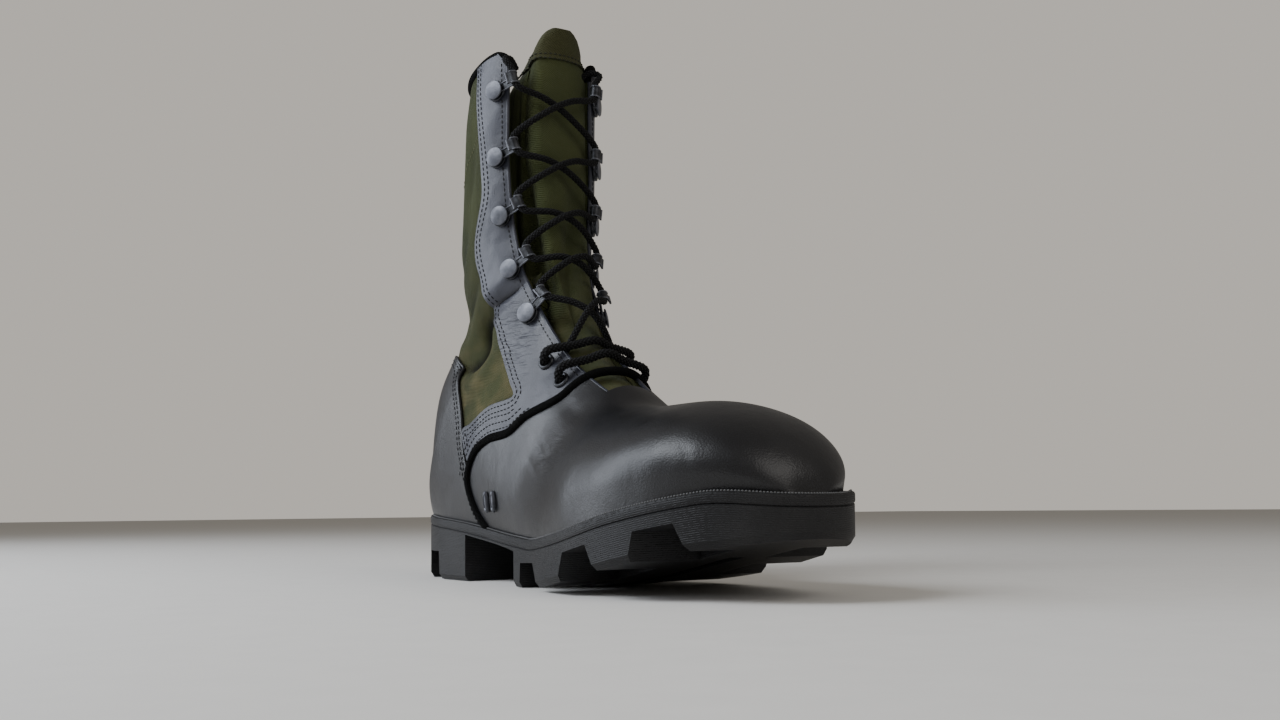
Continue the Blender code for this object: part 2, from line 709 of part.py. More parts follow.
def add_panels(grid, normals, parts, cutters, holes, ledge):
    half = 0.5 * FIT_GAP
    whole = (-BALL_WIDTH, BALL_WIDTH)
    above = (1 + BEYOND) * BOOT_HEIGHT
    below = -BEYOND * BOOT_HEIGHT
    front = 1 + BEYOND
    vamp = as_outline(moved_edge(VAMP_EDGE, -half))
    vamp += [(vamp[-1][0], below), (front, below), (front, above), (vamp[0][0], above)]
    add_panel("vamp", grid, normals, vamp, whole, parts, cutters, [ledge])
    counter = as_outline(moved_edge(COUNTER_EDGE, half))
    counter += [(counter[-1][0], below), (counter[0][0], below)]
    add_panel("counter", grid, normals, counter, whole, parts, cutters, [ledge])
    rear = [(corner.along, BOOT_HEIGHT * corner.height) for corner in EYESTAY_EDGE]
    rear[0] = (rear[0][0], above)
    meeting = as_outline(moved_edge(VAMP_EDGE, half))
    meeting = [spot for spot in meeting if spot[1] > rear[-1][1]]
    outline = rear + meeting[::-1] + [(front, meeting[0][1]), (front, above)]
    for name, across in (("eyestay_medial", (-BALL_WIDTH, 0.0)), ("eyestay_lateral", (0.0, BALL_WIDTH))):
        add_panel(name, grid, normals, outline, across, parts, cutters, holes)


def throat_line(grid, normals, row):
    """One row's points and normals, and how far each is round the boot from the middle."""
    low = int(row)
    share = row - low
    line = (1 - share) * grid[low] + share * grid[low + 1]
    facing = (1 - share) * normals[low] + share * normals[low + 1]
    far = np.concatenate([[0.0], np.cumsum(np.linalg.norm(np.diff(line, axis=0), axis=1))])
    return line, facing, far - far[SIDE_COLUMNS + THROAT_COLUMNS // 2]


def throat_spot(grid, normals, row, side, setback):
    """A place beside the throat's edge, or inside it where the setback is below zero."""
    line, facing, far = throat_line(grid, normals, row)
    edge = far[SIDE_COLUMNS] if side < 0 else far[SIDE_COLUMNS + THROAT_COLUMNS]
    at = edge + side * setback
    spot = np.array([np.interp(at, far, line[:, axis]) for axis in range(3)])
    out = np.array([np.interp(at, far, facing[:, axis]) for axis in range(3)])
    return spot, out / np.linalg.norm(out), at


def row_at(grid, normals, level, side, setback):
    """The row whose place beside the throat's edge is at a level."""
    rows = np.linspace(THROAT_START * SECTIONS_PER_ROW, len(grid) - 1.01, ROW_STEPS)
    levels = [throat_spot(grid, normals, row, side, setback)[0][2] for row in rows]
    return float(np.interp(level, levels, rows))


def throat_frame(grid, normals, level, side, setback):
    """The frame of a fitting beside the throat: its place, outward normal and way to the throat."""
    row = row_at(grid, normals, level, side, setback)
    spot, out, _ = throat_spot(grid, normals, row, side, setback)
    below, _, _ = throat_spot(grid, normals, row - 0.5, side, setback)
    return square_frame(spot, out, -side * np.cross(spot - below, out))


def square_frame(spot, out, inward):
    """A frame whose way inward is made square to the outward normal."""
    out = out / np.linalg.norm(out)
    inward = inward - out * np.dot(inward, out)
    inward = inward / np.linalg.norm(inward)
    return spot, out, inward


def side_frame(grid, normals, side, place):
    """The frame of a fitting on the boot's side, found from its place in the side view."""
    target = np.array([along_to_y(place.along), BOOT_HEIGHT * place.height])
    columns = range(SIDE_COLUMNS) if side < 0 else range(SIDE_COLUMNS + THROAT_COLUMNS, grid.shape[1] - 1)
    best = None
    for row in range(1, len(grid) - 1):
        for start in columns:
            corners = [(row, start), (row + 1, start), (row + 1, start + 1), (row, start + 1)]
            for three in (corners[:3], [corners[0], corners[2], corners[3]]):
                points = np.array([grid[corner] for corner in three])
                flat = points[:, 1:]
                edges = np.column_stack([flat[1] - flat[0], flat[2] - flat[0]])
                if abs(np.linalg.det(edges)) < 1e-12:
                    continue
                shares = np.linalg.solve(edges, target - flat[0])
                weights = np.array([1 - shares.sum(), shares[0], shares[1]])
                if best is None or weights.min() > best[0]:
                    out = weights @ np.array([normals[corner] for corner in three])
                    best = (weights.min(), weights @ points, out)
    return square_frame(best[1], best[2], np.array([0.0, -1.0, 0.0]))


def frame_matrix(frame, lift):
    """Where a piece modelled upright at the origin stands on the surface, facing the throat."""
    spot, out, inward = frame
    across = np.cross(out, inward)
    origin = spot + lift * out
    rows = [[inward[i], across[i], out[i], origin[i]] for i in range(3)]
    return mathutils.Matrix(rows + [[0.0, 0.0, 0.0, 1.0]])


def turned_mesh(name, profile, steps):
    """A closed solid turned round Z from a profile of (radius, height) points, from the top down."""
    points = [(radius, 0.0, height) for radius, height in profile]
    edges = [(spot, spot + 1) for spot in range(len(points) - 1)]
    if profile[0][0] > 0:
        edges.append((len(points) - 1, 0))
    mesh = bpy.data.meshes.new(name)
    mesh.from_pydata(points, edges, [])
    made = bpy.data.objects.new(name, mesh)
    bpy.context.scene.collection.objects.link(made)
    screw = made.modifiers.new("turn", "SCREW")
    screw.steps = steps
    screw.render_steps = steps
    screw.use_merge_vertices = True
    screw.merge_threshold = 0.00001
    return baked(made, name)


def baked(made, name):
    """The evaluated mesh of an object, which is then removed, with its normals facing out."""
    graph = bpy.context.evaluated_depsgraph_get()
    mesh = bpy.data.meshes.new_from_object(made.evaluated_get(graph))
    mesh.name = name
    bpy.data.objects.remove(made, do_unlink=True)
    shape = bmesh.new()
    shape.from_mesh(mesh)
    bmesh.ops.remove_doubles(shape, verts=shape.verts, dist=1e-6)
    bmesh.ops.recalc_face_normals(shape, faces=shape.faces)
    shape.to_mesh(mesh)
    shape.free()
    return mesh


def hook_mesh():
    """A hook: a plate, a domed rivet head and an arm that curls back over the lace."""
    dome = [(0.0, HOOK_PLATE + HOOK_DOME)]
    for step in range(1, 3):
        turn = np.pi / 2 * step / 2
        dome.append((HOOK_DOME_RADIUS * np.sin(turn), HOOK_PLATE + HOOK_DOME * np.cos(turn)))
    rim = [(HOOK_PLATE_RADIUS, HOOK_PLATE), (HOOK_PLATE_RADIUS, 0.0), (0.0, 0.0)]
    plate = turned_mesh("hook_plate", dome + rim, TURN_STEPS)
    wall = HOOK_ARM_WALL
    top = wall + HOOK_MOUTH
    curl = HOOK_MOUTH / 2 + wall
    outer = [(0.0, 0.0), (HOOK_REACH - curl, 0.0)]
    inner = [(HOOK_REACH - curl, wall), (0.0, wall)]
    bend = []
    for step in range(1, 5):
        turn = np.pi * step / 4 - np.pi / 2
        bend.append((HOOK_REACH - curl + curl * np.cos(turn), curl + curl * np.sin(turn)))
    back = []
    for step in range(0, 4):
        turn = np.pi / 2 - np.pi * step / 4
        radius = curl - wall
        back.append((HOOK_REACH - curl + radius * np.cos(turn), curl + radius * np.sin(turn)))
    tip = HOOK_REACH - curl - 0.5 * HOOK_MOUTH
    profile = outer + bend + [(tip, top + 2 * wall - wall * 0.4), (tip, top + wall * 0.4)] + back + inner
    count = len(profile)
    half = HOOK_ARM_WIDTH / 2
    points = [(x, y, z) for y in (-half, half) for x, z in profile]
    faces = [tuple(range(count)), tuple(range(2 * count - 1, count - 1, -1))]
    faces += [(i, i + count, (i + 1) % count + count, (i + 1) % count) for i in range(count)]
    base = bpy.data.objects.new("hook_base", plate)
    bpy.context.scene.collection.objects.link(base)
    arm = add_object("hook_arm", points, faces, bpy.context.scene.collection)
    shape = bmesh.new()
    shape.from_mesh(arm.data)
    bmesh.ops.recalc_face_normals(shape, faces=shape.faces)
    shape.to_mesh(arm.data)
    shape.free()
    cut(base, arm, "UNION")
    mesh = baked(base, "hook")
    bpy.data.objects.remove(arm, do_unlink=True)
    return mesh


def place_copy(name, mesh, matrix, group, material):
    made = bpy.data.objects.new(name, mesh)
    group.objects.link(made)
    made.matrix_world = matrix
    if not mesh.materials:
        mesh.materials.append(finish(material))
        mesh.shade_smooth()
        mesh.set_sharp_from_angle(angle=np.radians(35))
    return made


def leather_top():
    return FIT_GAP + LEATHER


def hook_frames(grid, normals, side):
    levels = [BOOT_HEIGHT * height for height in HOOK_HEIGHTS]
    return [throat_frame(grid, normals, level, side, HOOK_SETBACK) for level in levels]


def eyelet_frames(grid, normals, side):
    levels = [BOOT_HEIGHT * height for height in EYELET_HEIGHTS]
    return [throat_frame(grid, normals, level, side, EYELET_SETBACK) for level in levels]


def add_hooks(grid, normals, parts):
    mesh = hook_mesh()
    for label, side in (("medial", -1), ("lateral", 1)):
        for number, frame in enumerate(hook_frames(grid, normals, side), 1):
            matrix = frame_matrix(frame, leather_top() + FIT_GAP)
            place_copy(f"hook_{label}_{number}", mesh, matrix, parts, "steel")


def add_eyelets(grid, normals, parts, cutters):
    """Four rolled eyelets, and the cutters for the holes that their barrels pass through."""
    inner = EYELET_BORE
    outer = EYELET_BORE + EYELET_BARREL
    depth = leather_top() + UPPER_WALL - FIT_GAP
    middle = 0.5 * (inner + EYELET_RADIUS)
    profile = [
        (inner, 0.6 * EYELET_RIM),
        (middle, EYELET_RIM),
        (EYELET_RADIUS, 0.4 * EYELET_RIM),
        (EYELET_RADIUS, 0.0),
        (outer, 0.0),
        (outer, -depth),
        (inner, -depth),
    ]
    mesh = turned_mesh("eyelet", profile, TURN_STEPS)
    holes = []
    for label, side in (("medial", -1), ("lateral", 1)):
        for number, frame in enumerate(eyelet_frames(grid, normals, side), 1):
            matrix = frame_matrix(frame, leather_top() + FIT_GAP)
            place_copy(f"eyelet_{label}_{number}", mesh, matrix, parts, "steel")
            drill = [(0.0, depth), (outer + FIT_GAP, depth), (outer + FIT_GAP, -2 * depth), (0.0, -2 * depth)]
            drill_mesh = turned_mesh(f"drill_{label}_{number}", drill, TURN_STEPS)
            hole = bpy.data.objects.new(f"drill_{label}_{number}", drill_mesh)
            cutters.objects.link(hole)
            hole.matrix_world = matrix
            hole.hide_render = True
            hole.display_type = "WIRE"
            holes.append(hole)
    return holes


def add_vents(grid, normals, parts):
    profile = [(0.0, VENT_RISE)]
    for step in range(1, 4):
        turn = np.pi / 2 * step / 3
        profile.append((VENT_RADIUS * np.sin(turn), VENT_RISE * np.cos(turn)))
    profile.append((0.0, 0.0))
    mesh = turned_mesh("vent", profile, TURN_STEPS)
    for number in range(2):
        place = Edge(FIRST_VENT.along + number * VENT_PITCH / SOLE_LENGTH, FIRST_VENT.height)
        matrix = frame_matrix(side_frame(grid, normals, -1, place), leather_top() + FIT_GAP)
        place_copy(f"vent_{number + 1}", mesh, matrix, parts, "steel")


def tube_mesh(name, points, radius):
    """A round cord along a smooth curve through its points, with flat closed ends."""
    curve = bpy.data.curves.new(name, "CURVE")
    curve.dimensions = "3D"
    curve.bevel_depth = radius
    curve.bevel_resolution = 2
    curve.use_fill_caps = True
    spline = curve.splines.new("POLY")
    spline.points.add(len(points) - 1)
    for point, spot in zip(spline.points, points):
        point.co = (*spot, 1.0)
    made = bpy.data.objects.new(name, curve)
    bpy.context.scene.collection.objects.link(made)
    return baked(made, name)


def throat_place(grid, normals, row, at, lift):
    """A point above the throat, at a distance round the boot from the middle."""
    line, facing, far = throat_line(grid, normals, row)
    spot = np.array([np.interp(at, far, line[:, axis]) for axis in range(3)])
    out = np.array([np.interp(at, far, facing[:, axis]) for axis in range(3)])
    return spot + lift * out / np.linalg.norm(out)


def lace_end(grid, normals, side, level, setback, lift, anchor=None):
    """An end of a strand: its row, its distance round the boot, its lift and its exact place."""
    row = row_at(grid, normals, level, side, setback)
    _, _, at = throat_spot(grid, normals, row, side, setback)
    place = throat_place(grid, normals, row, at, lift)
    return LaceEnd(row, at, lift, np.zeros(3) if anchor is None else anchor - place)


def strand(grid, normals, start, end, middle_lift):
    """A strand over the throat, following the boot between its two ends."""
    points = []
    for share in STRAND_SHARES:
        row = (1 - share) * start.row + share * end.row
        at = (1 - share) * start.at + share * end.at
        lift = (1 - share) * start.lift + share * end.lift
        lift += (middle_lift - 0.5 * (start.lift + end.lift)) * np.sin(np.pi * share)
        place = throat_place(grid, normals, row, at, lift)
        points.append(place + (1 - share) ** 2 * start.shift + share**2 * end.shift)
    return points


def hook_anchors(grid, normals, way):
    """Where a lace passes each hook on both sides: just above it, or just below it."""
    lift = leather_top() + FIT_GAP + HOOK_ARM_WALL + 0.5 * HOOK_MOUTH
    reach = HOOK_REACH - HOOK_ARM_WALL - 0.5 * HOOK_MOUTH
    apart = 0.5 * HOOK_ARM_WIDTH + LACE_RADIUS + LACE_CLEARANCE
    anchors = {}
    for side in (-1, 1):
        for number, (spot, out, inward) in enumerate(hook_frames(grid, normals, side)):
            upward = side * np.cross(inward, out)
            place = spot + lift * out + reach * inward + way * apart * upward
            anchors[side, number] = lace_end(
                grid, normals, side, float(place[2]), HOOK_SETBACK - reach, lift, place
            )
    return anchors


def add_lace(grid, normals, parts):
    """Crossings of two strands each, joined where they meet, and a bar at the lower eyelets."""
    over_eyelet = leather_top() + FIT_GAP + EYELET_RIM + LACE_RADIUS + FIT_GAP
    low = leather_top() + LACE_RADIUS + LACE_CLEARANCE
    lifts = {-1: low, 1: low + LACE_STACK * LACE_RADIUS}
    above = hook_anchors(grid, normals, 1)
    below = hook_anchors(grid, normals, -1)
    holes = {}
    for number, height in enumerate(EYELET_HEIGHTS):
        for side in (-1, 1):
            holes[side, number] = lace_end(
                grid, normals, side, BOOT_HEIGHT * height, EYELET_SETBACK, over_eyelet
            )
    for number in range(len(HOOK_HEIGHTS)):
        strands = []
        for side in (-1, 1):
            start = above[side, number - 1] if number else holes[side, len(EYELET_HEIGHTS) - 1]
            strands.append(strand(grid, normals, start, below[-side, number], lifts[side]))
        join_strands(f"lace_crossing_{number + 1}", strands, parts)
    bar = strand(grid, normals, holes[-1, 0], holes[1, 0], over_eyelet + LACE_ARCH)
    join_strands("lace_bar", [bar], parts)


def join_strands(name, strands, parts):
    first = bpy.data.objects.new(name, tube_mesh(name, strands[0], LACE_RADIUS))
    parts.objects.link(first)
    if len(strands) > 1:
        other = bpy.data.objects.new(f"{name}_other", tube_mesh(f"{name}_other", strands[1], LACE_RADIUS))
        bpy.context.scene.collection.objects.link(other)
        cut(first, other, "UNION")
        mesh = baked(first, name)
        bpy.data.objects.remove(other, do_unlink=True)
        first = bpy.data.objects.new(name, mesh)
        parts.objects.link(first)
    first.data.materials.append(finish("cord"))
    first.data.shade_smooth()


def main():
    clear_scene()
    parts = new_collection("jungle_boot")
    cutters = new_collection("cutters")
    grid = upper_grid()
    normals = grid_normals(grid)
    add_sole(parts, cutters)
    add_insole(parts)
    holes = add_eyelets(grid, normals, parts, cutters)
    add_upper(grid, parts, [*holes, add_ledge("upper_ledge", 0.5 * FIT_GAP, cutters)])
    add_panels(grid, normals, parts, cutters, holes, add_ledge("panel_ledge", FIT_GAP, cutters))
    add_tongue(grid, normals, parts)
    add_hooks(grid, normals, parts)
    add_vents(grid, normals, parts)
    add_lace(grid, normals, parts)


main()
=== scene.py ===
"""The looks of a left jungle boot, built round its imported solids."""

import json
import logging
import math
from collections.abc import Callable, Sequence
from dataclasses import dataclass, field
from enum import Enum

import bmesh
import bpy
import numpy as np
from mathutils import Matrix, Vector
from mathutils.bvhtree import BVHTree

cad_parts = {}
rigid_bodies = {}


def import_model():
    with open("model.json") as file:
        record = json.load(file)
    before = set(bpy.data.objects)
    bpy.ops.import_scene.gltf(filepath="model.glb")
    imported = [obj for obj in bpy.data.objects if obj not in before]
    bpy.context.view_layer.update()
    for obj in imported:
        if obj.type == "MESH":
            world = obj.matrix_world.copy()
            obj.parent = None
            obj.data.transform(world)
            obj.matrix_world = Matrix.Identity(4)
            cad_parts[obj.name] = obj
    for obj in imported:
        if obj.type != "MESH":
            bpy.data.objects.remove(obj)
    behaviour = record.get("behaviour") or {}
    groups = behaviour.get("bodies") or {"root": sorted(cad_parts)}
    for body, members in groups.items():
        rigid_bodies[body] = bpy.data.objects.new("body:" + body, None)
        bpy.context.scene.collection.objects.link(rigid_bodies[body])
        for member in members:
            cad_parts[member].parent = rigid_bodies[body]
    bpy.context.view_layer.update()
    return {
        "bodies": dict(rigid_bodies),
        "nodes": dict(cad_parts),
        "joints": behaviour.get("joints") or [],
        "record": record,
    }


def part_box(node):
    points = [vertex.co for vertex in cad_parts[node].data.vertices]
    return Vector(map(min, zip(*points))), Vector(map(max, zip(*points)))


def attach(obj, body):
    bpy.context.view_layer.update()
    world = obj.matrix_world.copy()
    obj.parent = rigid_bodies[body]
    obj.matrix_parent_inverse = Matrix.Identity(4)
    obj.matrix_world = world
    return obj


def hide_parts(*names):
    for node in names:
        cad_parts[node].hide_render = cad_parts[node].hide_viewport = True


log = logging.getLogger("jungle_boot")
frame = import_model()

Points = np.ndarray
Pairs = Sequence[tuple[float, float]]
Faces = list[tuple[int, ...]]
Cell = tuple[int, int]
Route = list[Vector]
Piece = bpy.types.Object


class Side(Enum):
    """The two sides of this left boot, by the sign of X."""

    MEDIAL = -1
    LATERAL = 1


@dataclass(frozen=True)
class BootSizes:
    """Driving sizes, the first three of them read from the solids."""

    sole_length: float
    ball_width: float
    boot_height: float
    heel_height: float = 0.0339
    toe_spring: float = 0.0234
    sole_ledge: float = 0.0045
    toe_ledge: float = 0.0070
    wall: float = 0.0020
    gap: float = 0.0003
    leather: float = 0.0016

    @property
    def leather_top(self) -> float:
        """How far the overlaid leather's face stands above the upper."""
        return self.gap + self.leather


# The sole's outline: a place along it, and the widths to the inner and outer side.
SOLE_OUTLINE = (
    (0.000, 0.000, 0.000),
    (0.013, 0.148, 0.148),
    (0.047, 0.259, 0.259),
    (0.127, 0.333, 0.333),
    (0.257, 0.333, 0.352),
    (0.373, 0.336, 0.392),
    (0.500, 0.389, 0.448),
    (0.617, 0.472, 0.490),
    (0.707, 0.500, 0.500),
    (0.800, 0.481, 0.463),
    (0.883, 0.403, 0.403),
    (0.947, 0.278, 0.296),
    (0.987, 0.139, 0.157),
    (1.000, -0.009, 0.009),
)

# The sole's profile: a place along it, its lift as a share of the toe spring and its thickness.
SOLE_PROFILE = (
    (0.000, 0.00, 1.000),
    (0.257, 0.00, 0.826),
    (0.397, 0.00, 0.693),
    (0.500, 0.00, 0.640),
    (0.583, 0.10, 0.605),
    (0.667, 0.25, 0.590),
    (0.800, 0.57, 0.605),
    (0.917, 0.84, 0.610),
    (1.000, 1.00, 0.470),
)

# Gaps between lugs: where each starts and ends at its top and at the ground.
FOREFOOT_GAPS = (
    (0.472, 0.540, 0.467, 0.566),
    (0.680, 0.742, 0.662, 0.762),
    (0.834, 0.890, 0.825, 0.905),
)
HEEL_GAPS = ((0.084, 0.142, 0.080, 0.146),)

# Panel edges in the side view: places as shares of the sole's length, heights of the boot's.
VAMP_EDGE = (
    (0.567, 0.430),
    (0.552, 0.366),
    (0.522, 0.350),
    (0.493, 0.313),
    (0.430, 0.286),
    (0.393, 0.262),
    (0.330, 0.252),
    (0.287, 0.229),
    (0.264, 0.187),
    (0.284, 0.137),
    (0.335, 0.080),
)
COUNTER_EDGE = (
    (-0.050, 0.432),
    (0.150, 0.425),
    (0.178, 0.402),
    (0.222, 0.315),
    (0.238, 0.245),
    (0.260, 0.187),
    (0.280, 0.136),
    (0.331, 0.079),
)
EYESTAY_EDGE = (
    (0.239, 1.050),
    (0.241, 0.960),
    (0.263, 0.776),
    (0.266, 0.722),
    (0.244, 0.636),
    (0.256, 0.563),
    (0.287, 0.488),
    (0.317, 0.430),
    (0.370, 0.356),
    (0.385, 0.330),
    (0.317, 0.313),
    (0.262, 0.286),
    (0.236, 0.277),
    (0.245, 0.247),
    (0.263, 0.213),
)
EYELET_HEIGHTS = (0.347, 0.385)
HOOK_HEIGHTS = (0.481, 0.570, 0.675, 0.788, 0.918)
FIRST_VENT = (0.333, 0.145)


@dataclass(frozen=True)
class Section:
    """One section of the upper: its top and edge points, half widths and roundness."""

    top_along: float
    top_height: float
    edge_along: float
    rise: float
    width_in: float
    width_out: float
    wide_at: float
    crown: float
    side: float
    tuck: float
    throat: float


UPPER_SECTIONS = (
    Section(0.973, 0.147, 0.973, 0.000, 0.000, 0.000, 0.70, 2.0, 2.0, 1.0, 0.003),
    Section(0.969, 0.180, 0.963, 0.000, 0.120, 0.106, 0.70, 2.1, 2.0, 1.0, 0.019),
    Section(0.935, 0.230, 0.917, 0.000, 0.245, 0.218, 0.70, 2.1, 2.0, 1.0, 0.042),
    Section(0.877, 0.266, 0.853, 0.000, 0.370, 0.343, 0.70, 2.1, 2.0, 1.0, 0.056),
    Section(0.797, 0.283, 0.773, 0.000, 0.444, 0.421, 0.72, 2.0, 2.0, 1.0, 0.065),
    Section(0.693, 0.284, 0.677, 0.000, 0.454, 0.454, 0.74, 2.0, 2.0, 1.0, 0.069),
    Section(0.623, 0.291, 0.587, 0.000, 0.417, 0.449, 0.75, 1.9, 2.0, 1.0, 0.074),
    Section(0.570, 0.330, 0.487, 0.000, 0.352, 0.412, 0.76, 1.8, 2.0, 1.0, 0.097),
    Section(0.517, 0.374, 0.390, 0.000, 0.324, 0.370, 0.75, 1.8, 2.0, 1.0, 0.111),
    Section(0.473, 0.416, 0.293, 0.000, 0.324, 0.343, 0.72, 1.8, 2.0, 1.0, 0.120),
    Section(0.440, 0.459, 0.200, 0.000, 0.324, 0.333, 0.67, 1.9, 2.0, 1.0, 0.130),
    Section(0.415, 0.504, 0.113, 0.000, 0.324, 0.329, 0.65, 1.9, 2.1, 1.3, 0.139),
    Section(0.395, 0.554, 0.055, 0.000, 0.324, 0.329, 0.65, 2.0, 2.2, 1.7, 0.153),
    Section(0.378, 0.606, 0.028, 0.000, 0.324, 0.329, 0.65, 2.0, 2.2, 2.0, 0.167),
    Section(0.365, 0.662, 0.022, 0.104, 0.310, 0.319, 0.60, 2.1, 2.1, 2.0, 0.181),
    Section(0.355, 0.714, 0.037, 0.230, 0.287, 0.306, 0.50, 2.2, 2.2, 2.2, 0.194),
    Section(0.348, 0.773, 0.062, 0.346, 0.273, 0.301, 0.42, 2.3, 2.1, 2.1, 0.204),
    Section(0.343, 0.829, 0.072, 0.461, 0.273, 0.306, 0.40, 2.3, 2.1, 2.1, 0.208),
    Section(0.340, 0.888, 0.077, 0.595, 0.273, 0.306, 0.40, 2.4, 2.1, 2.1, 0.208),
    Section(0.340, 0.944, 0.090, 0.732, 0.269, 0.306, 0.40, 2.4, 2.1, 2.1, 0.208),
    Section(0.340, 1.000, 0.110, 0.848, 0.255, 0.306, 0.40, 2.4, 2.1, 2.1, 0.208),
)


@dataclass(frozen=True)
class Hollow:
    """A soft hollow in one side of the empty shaft."""

    side: Side
    along: float
    height: float
    spread: float
    rise: float
    depth: float


HOLLOWS = (
    Hollow(Side.MEDIAL, 0.235, 0.425, 0.060, 0.045, 0.035),
    Hollow(Side.MEDIAL, 0.150, 0.475, 0.120, 0.085, 0.080),
    Hollow(Side.LATERAL, 0.150, 0.500, 0.120, 0.085, 0.050),
)


@dataclass(frozen=True)
class Crease:
    """A soft trough, or a ridge where its depth is below zero, along a line in the side view.

    Places are millimetres from the heel's back and heights millimetres from the floor.
    """

    side: Side
    line: tuple[tuple[float, float], ...]
    depth: float
    width: float


CREASES = (
    Crease(Side.MEDIAL, ((78, 133), (84, 136), (89, 138), (97, 141), (105, 145)), 0.0022, 0.0018),
    Crease(Side.MEDIAL, ((80, 133), (90, 138), (103, 143)), 0.0014, 0.0060),
    Crease(Side.MEDIAL, ((76, 141), (86, 145), (98, 151)), -0.0015, 0.0042),
    Crease(Side.MEDIAL, ((84, 127), (94, 130), (106, 133)), -0.0009, 0.0034),
    Crease(Side.MEDIAL, ((86, 132), (97, 127), (108, 121), (116, 116)), 0.0007, 0.0016),
    Crease(Side.MEDIAL, ((92, 124), (103, 119), (114, 112)), 0.0006, 0.0016),
    Crease(Side.MEDIAL, ((98, 116), (109, 110), (119, 103)), 0.0006, 0.0016),
    Crease(
        Side.MEDIAL,
        ((83, 131), (76, 127), (73, 121), (74, 114), (70, 110), (62, 108), (54, 109)),
        0.0046,
        0.0030,
    ),
    Crease(Side.MEDIAL, ((80, 128), (74, 119), (70, 111), (62, 109)), 0.0016, 0.0060),
    Crease(Side.MEDIAL, ((88, 112), (80, 103), (70, 99), (62, 100)), -0.0024, 0.0055),
    Crease(Side.MEDIAL, ((72, 140), (63, 127), (54, 119), (38, 121)), -0.0030, 0.0058),
    Crease(Side.MEDIAL, ((74, 152), (62, 143), (48, 138), (34, 140)), 0.0024, 0.0040),
    Crease(Side.MEDIAL, ((68, 96), (76, 101), (86, 108)), 0.0012, 0.0028),
    Crease(Side.MEDIAL, ((34, 158), (48, 168), (60, 182)), 0.0018, 0.0055),
    Crease(Side.MEDIAL, ((60, 190), (64, 210), (66, 232)), 0.0016, 0.0060),
    Crease(Side.MEDIAL, ((40, 180), (42, 205), (44, 230)), 0.0014, 0.0070),
    Crease(Side.MEDIAL, ((139, 66), (149, 61), (160, 55)), 0.0006, 0.0017),
    Crease(Side.MEDIAL, ((146, 67), (157, 61), (169, 54)), 0.0005, 0.0017),
    Crease(Side.MEDIAL, ((136, 58), (147, 53), (157, 47)), 0.0005, 0.0017),
    Crease(Side.MEDIAL, ((142, 59), (153, 57), (165, 59)), 0.0004, 0.0016),
    Crease(Side.MEDIAL, ((264, 57), (267, 55), (268, 51)), 0.0003, 0.0014),
    Crease(Side.MEDIAL, ((150, 84), (160, 78), (172, 74)), 0.0008, 0.0040),
    Crease(Side.LATERAL, ((76, 132), (88, 138), (104, 146)), 0.0020, 0.0020),
    Crease(Side.LATERAL, ((78, 131), (90, 137), (102, 143)), 0.0014, 0.0060),
    Crease(Side.LATERAL, ((74, 142), (86, 150), (96, 158)), -0.0013, 0.0042),
    Crease(Side.LATERAL, ((88, 128), (100, 124), (112, 117)), 0.0007, 0.0017),
    Crease(Side.LATERAL, ((96, 118), (108, 112), (118, 105)), 0.0006, 0.0017),
    Crease(Side.LATERAL, ((82, 128), (75, 122), (71, 114), (62, 110), (54, 111)), 0.0036, 0.0026),
    Crease(Side.LATERAL, ((86, 110), (78, 102), (68, 99), (60, 100)), -0.0022, 0.0055),
    Crease(Side.LATERAL, ((70, 138), (60, 126), (48, 121), (34, 123)), -0.0026, 0.0060),
    Crease(Side.LATERAL, ((72, 150), (58, 143), (36, 142)), 0.0022, 0.0045),
    Crease(Side.LATERAL, ((50, 180), (56, 205), (60, 235)), 0.0016, 0.0070),
    Crease(Side.LATERAL, ((150, 86), (162, 80), (176, 74)), 0.0010, 0.0040),
    Crease(Side.LATERAL, ((158, 70), (170, 64), (184, 60)), 0.0008, 0.0040),
    Crease(Side.LATERAL, ((168, 62), (180, 54), (192, 48)), 0.0006, 0.0030),
)

MM = 0.001


def cubic_rise(share: Points, rise: Points, first: Points, last: Points) -> Points:
    """The rise of a cubic with a given slope at each end, at a share of the way along it."""
    return share * (first + share * (3 * rise - 2 * first - last + share * (first + last - 2 * rise)))


def smooth_values(places: Sequence[float], values: Sequence[float], at: Points) -> Points:
    """Reads a smooth curve through a table, with no overshoot past a turning point.

    Args:
        places: Where the table's values lie, rising.
        values: The table's values.
        at: The places to read.

    Returns:
        The values there.
    """
    places = np.asarray(places, float)
    values = np.asarray(values, float)
    steps = np.diff(places)
    slopes = np.diff(values) / steps
    tangents = np.empty_like(values)
    tangents[0] = slopes[0]
    tangents[-1] = slopes[-1]
    inner = (slopes[:-1] * steps[1:] + slopes[1:] * steps[:-1]) / (steps[1:] + steps[:-1])
    flat = slopes[:-1] * slopes[1:] <= 0
    limit = 3 * np.minimum(np.abs(slopes[:-1]), np.abs(slopes[1:]))
    tangents[1:-1] = np.where(flat, 0.0, np.sign(inner) * np.minimum(np.abs(inner), limit))
    at = np.clip(np.asarray(at, float), places[0], places[-1])
    span = np.clip(np.searchsorted(places, at, side="right") - 1, 0, len(steps) - 1)
    share = (at - places[span]) / steps[span]
    rise = values[span + 1] - values[span]
    first = tangents[span] * steps[span]
    last = tangents[span + 1] * steps[span]
    return values[span] + cubic_rise(share, rise, first, last)


